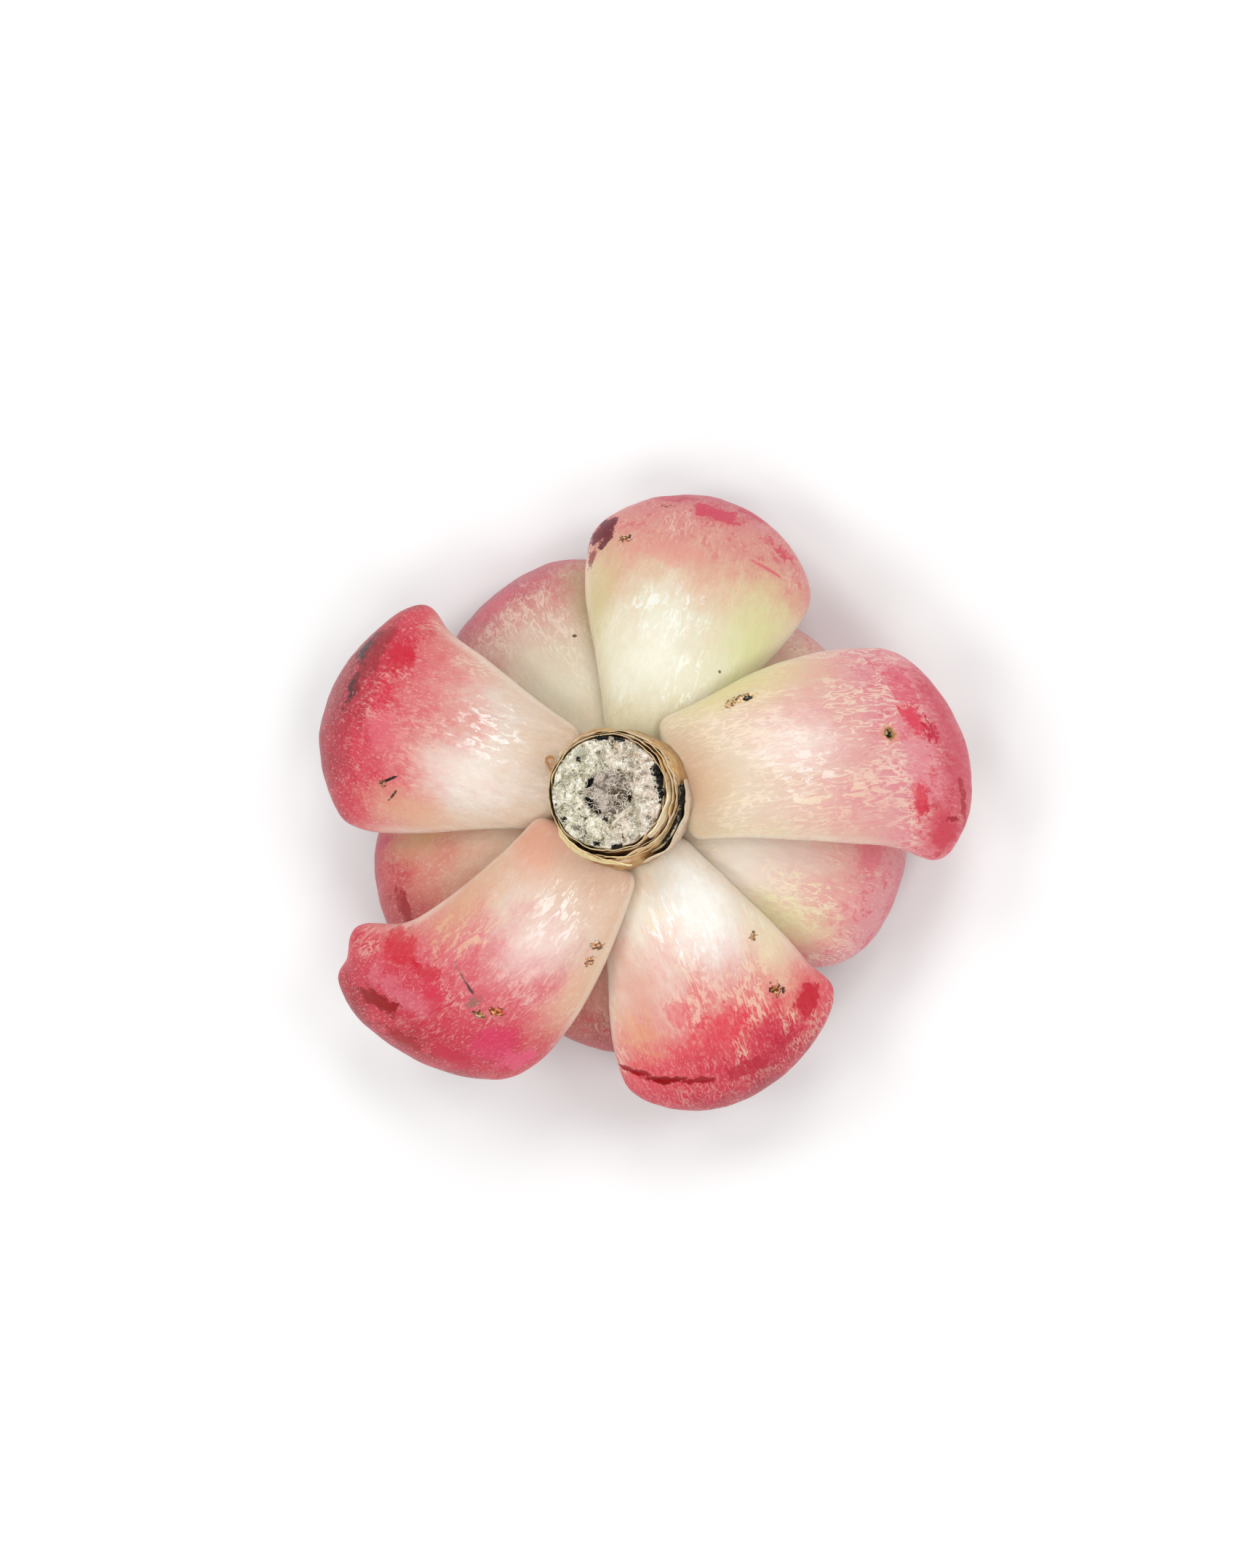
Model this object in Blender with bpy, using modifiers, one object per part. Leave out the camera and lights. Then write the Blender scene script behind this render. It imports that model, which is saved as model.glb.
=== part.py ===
"""Cut head of a rosette succulent, lying face down with its cut stem end up.

Sizes are in millimetres and degrees, and become metres in the meshes. +Z is up. A height is given
as a depth below the cut face of the stem. Leaves are numbered from the oldest, next to the cut, to
the youngest, around the bud. The finished head rests on the tips of its third whorl at z = 0.
"""
import math
from dataclasses import dataclass

import bmesh
import bpy
from mathutils import Vector

MM = 0.001

# Driving dimensions of the head.
STEM_RADIUS = 4.7          # the round stem at its cut
NECK_RADIUS = 4.3          # the stem among the oldest leaves
CUT_ROUNDING = 0.35        # the worn rim of the cut face
NECK_DEPTH = 5.2
TAPER_DEPTH = 10.0         # below here the stem narrows to its growing tip
TAPER = 0.28               # radius lost for each millimetre of depth
STEM_LENGTH = 22.5
CLEARANCE = 0.3            # gap between a piece and the one that it grows from or rests on

FIRST_LEAF_DEPTH = 6.0
LEAF_SPACING = 0.75        # depth between one leaf and the next
SPACING_LOSS = 0.006       # the leaves sit closer and closer towards the bud
GOLDEN_ANGLE = 137.5
WHORL = 5

THIRD_WHORL_DROP = 29.3    # depth of the leaf tips that the head rests on
FOURTH_WHORL_DROP = 28.8
HEART_DROP = 28.0
BUD_DEPTH = 25.4
BUD_RADIUS = 1.0
BUD_HALF_LENGTH = 2.3

BARK_THICKNESS = 0.2
BARK_WAVE = 0.25
BARK_FACE_ANGLE = 15
LOOSE_SIDE = -30           # direction in which the bark stands off the stem
FLAKE_LENGTH = 1.8
FLAKE_WIDTH = 0.7
FLAKE_CENTRE = (-6.0, 2.6, -5.7)

LEAF_FACES = (14, 12)      # faces round a leaf, and along it
SMALL_LEAF_FACES = (10, 9)
TURNED_STEPS = 28

LEAF_COLORS = {
    "outer": (0.74, 0.36, 0.33, 1.0),
    "second": (0.76, 0.42, 0.36, 1.0),
    "inner": (0.72, 0.62, 0.47, 1.0),
}
STEM_COLOR = (0.55, 0.50, 0.43, 1.0)
BARK_COLOR = (0.50, 0.32, 0.15, 1.0)


def stem_radius(depth):
    """Radius of the stem where leaves grow on it."""
    return NECK_RADIUS - TAPER * max(0.0, depth - TAPER_DEPTH)


def leaf_depth(number):
    """Depth at which a leaf joins the stem; leaf 0 is the oldest."""
    return FIRST_LEAF_DEPTH + LEAF_SPACING * number - SPACING_LOSS * number ** 2


@dataclass
class Leaf:
    """A thick leaf that grows outwards and bends down, with its rounded underside up."""
    direction: float       # seen from above, counter-clockwise from +X
    length: float
    width: float
    lean: float            # slope of the leaf at the stem, below level
    curl: float            # further slope that it gains by its tip
    under: float = 2.9     # thickness above the leaf's middle surface, its back
    upper: float = 2.1     # thickness below it
    sweep: float = 0.0     # sideways bend, as a share of the length
    base: float = 0.42     # width at the stem, as a share of the full width
    widest: float = 0.66   # place of the full width along the leaf
    blunt: float = 2.4     # how square the end is
    skew: float = 0.0      # how much later the counter-clockwise edge is widest
    shoulder: float = 0.0  # extra width at one shoulder, as a share of half the width
    shoulder_at: float = 0.8
    shoulder_side: int = -1
    cup: float = 0.12      # how far the edges bend down
    number: int = 0

    @property
    def depth(self):
        return leaf_depth(self.number)

    def middle(self, along):
        """Distance from the axis, depth and sideways shift of the leaf's middle line, and its slope."""
        lean = math.radians(self.lean)
        curl = math.radians(self.curl)
        slope = lean + curl * along
        foot = self.upper * self.fullness(0) * math.sin(lean)
        radius = stem_radius(self.depth) + CLEARANCE + foot
        out = radius + self.length / curl * (math.sin(slope) - math.sin(lean))
        down = self.depth + self.length / curl * (math.cos(lean) - math.cos(slope))
        return out, down, self.length * self.sweep * along ** 2, slope

    def half_width(self, along, side):
        """Half the width at a place along the leaf; side is +1 for the counter-clockwise edge."""
        widest = self.widest + side * self.skew
        if along <= widest:
            share = self.base + (1 - self.base) * math.sin(math.pi / 2 * along / widest) ** 1.2
        else:
            past = (along - widest) / (1 - widest)
            share = max(0.0, 1 - past ** self.blunt) ** (1 / self.blunt)
        if side == self.shoulder_side:
            swell = math.exp(-((along - self.shoulder_at) / 0.1) ** 2)
            share += self.shoulder * swell * min(1.0, math.sqrt(max(0.0, 1 - along) / 0.15))
        return self.width / 2 * share

    def fullness(self, along):
        """Thickness along the leaf, as a share of the greatest."""
        swell = 0.42 + 0.58 * math.sin(math.pi / 2 * min(1.0, along / 0.6))
        past = max(0.0, (along - 0.55) / 0.45)
        return swell * max(0.0, 1 - past ** 2.6) ** (1 / 2.2)

    def point(self, along, around):
        """A point of the leaf's skin; around is its angle about the middle line."""
        out, down, shift, slope = self.middle(along)
        side = 1 if math.cos(around) > 0 else -1
        half = self.half_width(along, side)
        back = self.under if math.sin(around) > 0 else self.upper
        across = half * math.cos(around)
        rise = back * self.fullness(along) * math.sin(around) - self.cup * half * math.cos(around) ** 2
        turn = math.radians(self.direction)
        outward = Vector((math.cos(turn), math.sin(turn), 0))
        sideways = Vector((-math.sin(turn), math.cos(turn), 0))
        up = Vector((0, 0, 1))
        skin = math.sin(slope) * outward + math.cos(slope) * up
        place = out * outward - down * up + (shift + across) * sideways + rise * skin
        return place * MM


def length_for_drop(tip_depth, number, lean, curl):
    """Length that brings a leaf's tip to a depth."""
    start = math.radians(lean)
    bend = math.radians(curl)
    return (tip_depth - leaf_depth(number)) * bend / (math.cos(start) - math.cos(start + bend))


def grown_leaves():
    """Every leaf by name. The two outer whorls are given one by one, the rest by rule."""
    leaves = {
        "outer_leaf_1": Leaf(238, 29.7, 18.4, 3, 55, sweep=-0.26, base=0.55, widest=0.83, blunt=2.1,
                             skew=-0.02, shoulder=0.3, shoulder_at=0.68),
        "outer_leaf_2": Leaf(16, 28.7, 18.4, 5, 52, sweep=-0.11, base=0.58, widest=0.79, blunt=1.9,
                             skew=-0.01, shoulder=0.14, shoulder_at=0.78),
        "outer_leaf_3": Leaf(162, 31.4, 19.6, 6, 54, sweep=-0.01, base=0.45, widest=0.74, blunt=1.5,
                             skew=-0.01, shoulder=0.14, shoulder_at=0.7),
        "outer_leaf_4": Leaf(292.5, 27.5, 19.4, 8, 51, sweep=-0.06, base=0.38, widest=0.75, blunt=1.8,
                             shoulder=0.12, shoulder_at=0.72, shoulder_side=1),
        "outer_leaf_5": Leaf(73, 29.4, 20.6, 10, 51, sweep=0.06, base=0.3, widest=0.68, blunt=1.6),
        "second_leaf_1": Leaf(203, 28.5, 18.6, 18, 48),
        "second_leaf_2": Leaf(342, 24.7, 18.4, 17, 48),
        "second_leaf_3": Leaf(122, 26.3, 18.5, 19, 46),
        "second_leaf_4": Leaf(261, 23.7, 17.3, 21, 45),
        "second_leaf_5": Leaf(37, 23.3, 17.3, 23, 44),
    }
    direction = 172.0
    for step in range(WHORL):
        number = 2 * WHORL + step
        lean = 36 + 2 * step
        length = length_for_drop(THIRD_WHORL_DROP, number, lean, 36)
        leaves[f"third_leaf_{step + 1}"] = Leaf(direction % 360, length, 12.8 - 0.4 * step, lean, 36,
                                                under=2.4, upper=1.7)
        direction += GOLDEN_ANGLE
    for step in range(WHORL):
        number = 3 * WHORL + step
        lean = 52 + 2 * step
        length = length_for_drop(FOURTH_WHORL_DROP, number, lean, 24)
        leaves[f"inner_leaf_{step + 1}"] = Leaf(direction % 360, length, 7.6 - 0.3 * step, lean, 24,
                                                under=1.7, upper=1.1)
        direction += GOLDEN_ANGLE
    for step in range(WHORL):
        number = 4 * WHORL + step
        lean = 68 + 2 * step
        length = length_for_drop(HEART_DROP, number, lean, 12)
        leaves[f"heart_leaf_{step + 1}"] = Leaf(direction % 360, length, 3.6 - 0.15 * step, lean, 12,
                                                under=1.0, upper=0.7)
        direction += GOLDEN_ANGLE
    for number, leaf in enumerate(leaves.values()):
        leaf.number = number
    return leaves


def empty_scene():
    for obj in list(bpy.data.objects):
        bpy.data.objects.remove(obj, do_unlink=True)


def plain_material(name, color, roughness):
    material = bpy.data.materials.new(name)
    material.use_nodes = True
    shader = material.node_tree.nodes["Principled BSDF"]
    shader.inputs["Base Color"].default_value = color
    shader.inputs["Roughness"].default_value = roughness
    shader.inputs["Metallic"].default_value = 0.0
    material.diffuse_color = color
    return material


def add_object(name, mesh, head, material):
    """An object of the head, with its own material, placed by the head's empty."""
    obj = bpy.data.objects.new(name, mesh)
    bpy.data.collections["rosette_head"].objects.link(obj)
    mesh.materials.append(material)
    obj.parent = head
    return obj


def rounded(name, faces, shape):
    """A mesh made from a sphere, each of its points moved to shape(along, around)."""
    sides, rings = faces
    bm = bmesh.new()
    bmesh.ops.create_uvsphere(bm, u_segments=sides, v_segments=rings, radius=1)
    for vert in bm.verts:
        ring = round(math.acos(max(-1.0, min(1.0, -vert.co.z))) / math.pi * rings)
        around = math.atan2(vert.co.y, vert.co.x)
        pole = ring in (0, rings)
        vert.co = shape(ring / rings, around, pole)
    mesh = bpy.data.meshes.new(name)
    bm.to_mesh(mesh)
    bm.free()
    mesh.shade_smooth()
    return mesh


def make_leaf(name, leaf, faces, color, head):
    rings = faces[1]

    def shape(height, around, pole):
        """The first ring of the sphere is the leaf's foot, and the rings crowd towards its tip."""
        step = max(0.0, height * rings - 1) / (rings - 1)
        along = 1 - (1 - step) ** 1.6
        if not pole:
            return leaf.point(along, around)
        foot_and_opposite = leaf.point(along, 0) + leaf.point(along, math.pi)
        return foot_and_opposite / 2

    add_object(name, rounded(name, faces, shape), head, plain_material(name, color, 0.45))


def make_leaves(head):
    for name, leaf in grown_leaves().items():
        small = leaf.number >= 2 * WHORL
        row = ("outer", "second", "inner")[min(2, leaf.number // WHORL)]
        make_leaf(name, leaf, SMALL_LEAF_FACES if small else LEAF_FACES, LEAF_COLORS[row], head)


def make_bud(head):
    """The closed bud at the tip of the stem, among the youngest leaves."""

    def shape(height, around, pole):
        turn = math.pi * height
        radius = BUD_RADIUS * math.sin(turn)
        depth = BUD_DEPTH + BUD_HALF_LENGTH * math.cos(turn)
        return Vector((radius * math.cos(around), radius * math.sin(around), -depth)) * MM

    color = LEAF_COLORS["inner"]
    add_object("bud", rounded("bud", SMALL_LEAF_FACES, shape), head, plain_material("bud", color, 0.5))


def make_stem(head):
    """The stem: a turned piece, flat where it was cut and tapered among the leaves."""
    profile = [
        (0, 0),
        (STEM_RADIUS - CUT_ROUNDING, 0),
        (STEM_RADIUS - CUT_ROUNDING * 0.3, CUT_ROUNDING * 0.3),
        (STEM_RADIUS, CUT_ROUNDING),
        (STEM_RADIUS, NECK_DEPTH - 1.2),
        (NECK_RADIUS, NECK_DEPTH),
        (NECK_RADIUS, TAPER_DEPTH),
        (stem_radius(STEM_LENGTH), STEM_LENGTH),
        (0, STEM_LENGTH),
    ]
    mesh = bpy.data.meshes.new("stem")
    bm = bmesh.new()
    points = [bm.verts.new((radius * MM, 0, -depth * MM)) for radius, depth in profile]
    for start, end in zip(points, points[1:]):
        bm.edges.new((start, end))
    bm.to_mesh(mesh)
    bm.free()
    stem = add_object("stem", mesh, head, plain_material("stem", STEM_COLOR, 0.9))
    turned = stem.modifiers.new("turned", "SCREW")
    turned.steps = TURNED_STEPS
    turned.render_steps = TURNED_STEPS
    turned.use_merge_vertices = True
    turned.merge_threshold = 0.00001


def make_sheet(name, middle, head):
    """A thin closed piece from a flat sheet of points, half of its thickness to each side."""
    mesh = bpy.data.meshes.new(name)
    middle.to_mesh(mesh)
    middle.free()
    sheet = add_object(name, mesh, head, plain_material(name, BARK_COLOR, 0.8))
    wall = sheet.modifiers.new("wall", "SOLIDIFY")
    wall.thickness = BARK_THICKNESS * MM
    wall.offset = 0.0


def make_bark(name, radius, stand_off, start, end, top, bottom, head):
    """A curved sheet of dry bark round the stem, from one direction to another.

    It stands off the stem on the side of LOOSE_SIDE, and its upper edge waves.
    """
    middle = bmesh.new()
    bmesh.ops.create_grid(middle, x_segments=round((end - start) / BARK_FACE_ANGLE), y_segments=3, size=1)
    for vert in middle.verts:
        turn = math.radians(start + (end - start) * (vert.co.x + 1) / 2)
        rise = (vert.co.y + 1) / 2
        wave = BARK_WAVE * math.sin(3 * turn + radius) * rise
        depth = bottom + (top - bottom) * rise + wave
        out = radius + stand_off * max(0.0, math.cos(turn - math.radians(LOOSE_SIDE)))
        vert.co = Vector((out * math.cos(turn), out * math.sin(turn), -depth)) * MM
    make_sheet(name, middle, head)


def make_flake(head):
    """A curled scrap of bark that lies on the foot of the third leaf."""
    middle = bmesh.new()
    bmesh.ops.create_grid(middle, x_segments=4, y_segments=1, size=1)
    for vert in middle.verts:
        curled = Vector((vert.co.y * FLAKE_WIDTH / 2, vert.co.x * FLAKE_LENGTH / 2, 0.25 * vert.co.x ** 2))
        vert.co = (Vector(FLAKE_CENTRE) + curled) * MM
    make_sheet("bark_flake", middle, head)


def stand_on_origin(head):
    """Move the head so that the middle of its footprint is the origin and it rests at z = 0."""
    bpy.context.view_layer.update()
    graph = bpy.context.evaluated_depsgraph_get()
    corners = [child.evaluated_get(graph).matrix_world @ Vector(corner)
               for child in head.children for corner in child.evaluated_get(graph).bound_box]
    low = Vector(min(corner[axis] for corner in corners) for axis in range(3))
    high = Vector(max(corner[axis] for corner in corners) for axis in range(3))
    head.location = (-(low.x + high.x) / 2, -(low.y + high.y) / 2, -low.z)
    bpy.context.view_layer.update()


def main():
    empty_scene()
    collection = bpy.data.collections.new("rosette_head")
    bpy.context.scene.collection.children.link(collection)
    head = bpy.data.objects.new("head", None)
    collection.objects.link(head)
    make_leaves(head)
    make_bud(head)
    make_stem(head)
    make_bark("bark_inner", 5.1, 0.05, -100, 235, 0.4, 4.4, head)
    make_bark("bark_middle", 5.4, 0.15, -130, 60, 0.9, 4.3, head)
    make_bark("bark_outer", 5.7, 0.35, -150, 110, 1.6, 4.3, head)
    make_flake(head)
    stand_on_origin(head)


main()
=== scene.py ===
"""A cut succulent rosette that lies face down: fleshy leaves, a dried stem end and its papery bark.

Lengths are millimetres until they become metres through MM. Depths count down from the cut face.
"""
import math
import random
from dataclasses import dataclass

import bmesh
import bpy
import numpy as np
from mathutils import Matrix, Vector, noise


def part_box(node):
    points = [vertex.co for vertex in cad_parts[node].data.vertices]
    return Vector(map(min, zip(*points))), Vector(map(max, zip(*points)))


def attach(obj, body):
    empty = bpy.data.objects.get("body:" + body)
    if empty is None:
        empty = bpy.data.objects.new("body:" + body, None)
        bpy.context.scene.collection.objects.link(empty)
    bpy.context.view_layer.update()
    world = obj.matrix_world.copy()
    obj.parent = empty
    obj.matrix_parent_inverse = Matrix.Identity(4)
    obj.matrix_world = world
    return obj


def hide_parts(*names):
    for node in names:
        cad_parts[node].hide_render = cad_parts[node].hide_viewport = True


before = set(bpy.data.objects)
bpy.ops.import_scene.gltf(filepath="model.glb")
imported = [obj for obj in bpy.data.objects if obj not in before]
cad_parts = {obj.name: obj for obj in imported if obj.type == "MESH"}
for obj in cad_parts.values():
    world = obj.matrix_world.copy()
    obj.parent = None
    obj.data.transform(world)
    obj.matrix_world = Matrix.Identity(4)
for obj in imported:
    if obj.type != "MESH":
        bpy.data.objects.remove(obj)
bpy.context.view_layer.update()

MM = 0.001

STEM_LOW, STEM_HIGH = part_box("stem")
CUT_CENTRE = Vector(((STEM_LOW.x + STEM_HIGH.x) / 2, (STEM_LOW.y + STEM_HIGH.y) / 2, STEM_HIGH.z))
STEM_RADIUS = (STEM_HIGH.x - STEM_LOW.x) / 2 / MM
STEM_LENGTH = (STEM_HIGH.z - STEM_LOW.z) / MM
NECK_RADIUS = STEM_RADIUS - 0.4
NECK_DEPTH = 5.2
TAPER_DEPTH = 10.0
TAPER = 0.28
GOLDEN_ANGLE = 137.5
WHORL = 5


# Small helpers ---------------------------------------------------------------------------------

def deselect_all():
    bpy.ops.object.select_all(action="DESELECT")


def open_cage(piece):
    """Edit mode on one piece with nothing selected; gives its editable mesh."""
    deselect_all()
    bpy.context.view_layer.objects.active = piece
    piece.select_set(True)
    bpy.ops.object.mode_set(mode="EDIT")
    bpy.ops.mesh.select_mode(type="VERT")
    bpy.ops.mesh.select_all(action="DESELECT")
    cage = bmesh.from_edit_mesh(piece.data)
    cage.verts.ensure_lookup_table()
    return cage


def close_cage():
    bpy.ops.object.mode_set(mode="OBJECT")


def pick(piece, cage, wanted, last):
    """Select these points in place of the last ones, and give them back as the new last."""
    for index in last:
        cage.verts[index].select_set(False)
    for index in wanted:
        cage.verts[index].select_set(True)
    bmesh.update_edit_mesh(piece.data, loop_triangles=False, destructive=False)
    return wanted


def apply_modifier(piece, kind, **settings):
    modifier = piece.modifiers.new(kind.lower(), kind)
    for name, value in settings.items():
        setattr(modifier, name, value)
    bpy.context.view_layer.objects.active = piece
    bpy.ops.object.modifier_apply(modifier=modifier.name)


def points_of(piece):
    flat = np.zeros(len(piece.data.vertices) * 3, np.float32)
    piece.data.vertices.foreach_get("co", flat)
    return flat.reshape(-1, 3).astype(float)


def normals_of(piece):
    flat = np.zeros(len(piece.data.vertices) * 3, np.float32)
    piece.data.vertex_normals.foreach_get("vector", flat)
    return flat.reshape(-1, 3).astype(float)


def set_points(piece, points):
    piece.data.vertices.foreach_set("co", points.astype(np.float32).ravel())
    piece.data.update()


def store(piece, name, vectors):
    """Keep a vector at every point, for the material to read."""
    attribute = piece.data.attributes.new(name, "FLOAT_VECTOR", "POINT")
    attribute.data.foreach_set("vector", vectors.astype(np.float32).ravel())


def stored(piece, name):
    flat = np.zeros(len(piece.data.vertices) * 3, np.float32)
    piece.data.attributes[name].data.foreach_get("vector", flat)
    return flat.reshape(-1, 3).astype(float)


def grain(places, size, seed=0.0):
    """Smooth noise from -1 to 1 at each place; size is the width of a lump along each axis."""
    scale = 1 / np.array(size, float)
    shift = np.array((seed, seed * 1.7, seed * 0.6))
    return np.array([noise.noise(Vector(place)) for place in places * scale + shift])


def settle(piece, node=None):
    """The last steps of every piece: smooth shading, its body, and the part that it stands for."""
    deselect_all()
    bpy.context.view_layer.objects.active = piece
    piece.select_set(True)
    bpy.ops.object.transform_apply(location=True, rotation=True, scale=True)
    bpy.ops.object.shade_smooth()
    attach(piece, "root")
    if node:
        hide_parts(node)


# Materials -------------------------------------------------------------------------------------

def color(code):
    """A linear colour from an sRGB hex value."""
    channels = [int(code[index:index + 2], 16) / 255 for index in (0, 2, 4)]
    linear = [c / 12.92 if c <= 0.04045 else ((c + 0.055) / 1.055) ** 2.4 for c in channels]
    return (*linear, 1.0)


USUAL_SETTINGS = {"MapRange": {"interpolation_type": "SMOOTHSTEP"}, "Mix": {"data_type": "RGBA"}}


def add_node(tree, kind, *values, **settings):
    """Add a node with its settings and links; values fill its inputs in order.

    A setting with a capital letter is an input by name. An input takes a number, the hex value of
    a colour, an output, or a node, which stands for its first output in use.
    """
    node = tree.nodes.new("ShaderNode" + kind)
    for name, value in {**USUAL_SETTINGS.get(kind, {}), **settings}.items():
        if name[0].islower():
            setattr(node, name, value)
    inputs = list(zip([socket for socket in node.inputs if socket.enabled], values))
    inputs += [(node.inputs[name.replace("_", " ")], value) for name, value in settings.items()
               if name[0].isupper()]
    for socket, value in inputs:
        if isinstance(value, bpy.types.Node):
            value = next(output for output in value.outputs if output.enabled)
        if isinstance(value, bpy.types.NodeSocket):
            tree.links.new(value, socket)
        else:
            socket.default_value = color(value) if isinstance(value, str) else value
    return node


def new_material(name):
    """A material with nothing in it yet, and its node tree."""
    material = bpy.data.materials.new(name)
    material.use_nodes = True
    material.node_tree.nodes.clear()
    return material, material.node_tree


def set_stops(ramp_node, stops):
    ramp = ramp_node.color_ramp
    while len(ramp.elements) < len(stops):
        ramp.elements.new(0.5)
    for element, (place, code) in zip(ramp.elements, stops):
        element.position = place
        element.color = color(code)


def pattern(tree, places, lump, detail=3.0, roughness=0.5, shift=(0, 0, 0), twist=0.0):
    """Noise from 0 to 1 whose lumps have a size in millimetres along each axis."""
    scale = tuple(1 / (size * MM) for size in lump)
    spread = add_node(tree, "Mapping", places, Scale=scale, Location=shift)
    return add_node(tree, "TexNoise", spread, Scale=1.0, Detail=detail, Roughness=roughness,
                    Distortion=twist)


def threads(tree, places, lump, width, shift=(0, 0, 0), twist=0.6):
    """Fine wandering lines, from 0 to 1: they follow the places where a noise crosses its middle."""
    lumps = pattern(tree, places, lump, 2.0, 0.5, shift, twist)
    away = add_node(tree, "Math", lumps, 0.5, operation="SUBTRACT")
    away = add_node(tree, "Math", away, operation="ABSOLUTE")
    return add_node(tree, "MapRange", away, width, width * 0.3)


@dataclass
class Spot:
    """A mark on a leaf: its place across and along the leaf, and its size, in millimetres."""
    across: float
    along: float
    wide: float
    long: float
    code: str
    strength: float = 1.0
    ragged: float = 0.5
    rise: float = 0.0      # height of the mark, negative for a pit
    turn: float = 0.0      # degrees counter-clockwise
    dry: bool = False      # corky and dull
    soft: float = 0.15     # width of its fading edge, as a share of its size


@dataclass
class Leaf:
    """A leaf as it grew: its size and bend, its colours from stem to tip, and its marks."""
    direction: float
    length: float
    width: float
    lean: float
    curl: float
    back: float = 2.9
    face: float = 2.1
    sweep: float = 0.0
    foot: float = 0.42
    widest: float = 0.66
    blunt: float = 2.4
    skew: float = 0.0
    shoulder: float = 0.0
    shoulder_at: float = 0.8
    shoulder_side: int = -1
    cup: float = 0.12
    tones: tuple = ()
    margin: str = "CDB384"
    blush: str = "CE3048"
    fleck: str = "F4E6D2"
    streaks: float = 0.35
    spots: tuple = ()
    flecks_and_glints: tuple = ()      # places where pale flecks crowd together; the near-white ones near the foot are painted glints
    number: int = 0

    @property
    def depth(self):
        return 6.0 + 0.75 * self.number - 0.006 * self.number ** 2

    def half_width(self, along, side):
        widest = self.widest + side * self.skew
        if along <= widest:
            share = self.foot + (1 - self.foot) * math.sin(math.pi / 2 * along / widest) ** 1.2
        else:
            past = (along - widest) / (1 - widest)
            share = max(0.0, 1 - past ** self.blunt) ** (1 / self.blunt)
        if side == self.shoulder_side:
            swell = math.exp(-((along - self.shoulder_at) / 0.1) ** 2)
            share += self.shoulder * swell * min(1.0, math.sqrt(max(0.0, 1 - along) / 0.15))
        return self.width / 2 * share

    def fullness(self, along):
        swell = 0.42 + 0.58 * math.sin(math.pi / 2 * min(1.0, along / 0.6))
        past = max(0.0, (along - 0.55) / 0.45)
        return swell * max(0.0, 1 - past ** 2.6) ** (1 / 2.2)


MARK_EDGE = 0.85           # where a mark fades out, as a share of its size
RAGGED_REACH = 5.0         # how far its ragged edge wanders, as a share of its size
SMALL_MARK = 1.3           # a mark below this half size has a fine-grained edge


def stem_radius(depth):
    return NECK_RADIUS - TAPER * max(0.0, depth - TAPER_DEPTH)


def spot_mask(tree, places, spot, rough):
    """Where a mark lies: 0 to its strength, with an edge made ragged by a noise."""
    place = add_node(tree, "Mapping", places, (spot.across * MM, 0, spot.along * MM),
                     (0, math.radians(-spot.turn), 0), (spot.wide * MM, 1.0, spot.long * MM),
                     vector_type="TEXTURE")
    away = add_node(tree, "VectorMath", place, operation="LENGTH")
    wander = add_node(tree, "Math", rough, 0.5, operation="SUBTRACT")
    away = add_node(tree, "Math", wander, RAGGED_REACH * spot.ragged, away, operation="MULTIPLY_ADD")
    return add_node(tree, "MapRange", away, MARK_EDGE + spot.soft, MARK_EDGE - spot.soft, 0.0, spot.strength)


def lay_spots(tree, places, spots, skin, roughness, ragged, grit):
    """Colour each mark over the skin; a dry mark is a mottled crust. Gives colour and roughness."""
    for spot in spots:
        small = max(spot.wide, spot.long) < SMALL_MARK
        mask = spot_mask(tree, places, spot, grit if small else ragged)
        mark = spot.code
        if spot.dry:
            cracks = add_node(tree, "MapRange", grit, 0.5, 0.42)
            mark = add_node(tree, "Mix", cracks, mark, "5A3620")
            flakes = add_node(tree, "MapRange", grit, 0.55, 0.63, 0.0, 0.8)
            mark = add_node(tree, "Mix", flakes, mark, "EBDDB8")
            roughness = add_node(tree, "Mix", mask, roughness, "E4E4E4")
        skin = add_node(tree, "Mix", mask, skin, mark)
    return skin, roughness


def spot_rise(places, spots, seed):
    """Height of the marks, in millimetres, at places across and along."""
    rise = np.zeros(len(places))
    for spot in spots:
        if spot.rise:
            turn = math.radians(spot.turn)
            across, along = places[:, 0] - spot.across, places[:, 2] - spot.along
            wide = (across * math.cos(turn) + along * math.sin(turn)) / spot.wide
            long = (along * math.cos(turn) - across * math.sin(turn)) / spot.long
            rough = 1 + 0.6 * grain(places, (0.4, 2.0, 0.4), seed)
            rise += spot.rise * np.exp(-1.6 * (wide ** 2 + long ** 2)) * rough
    return rise


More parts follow.
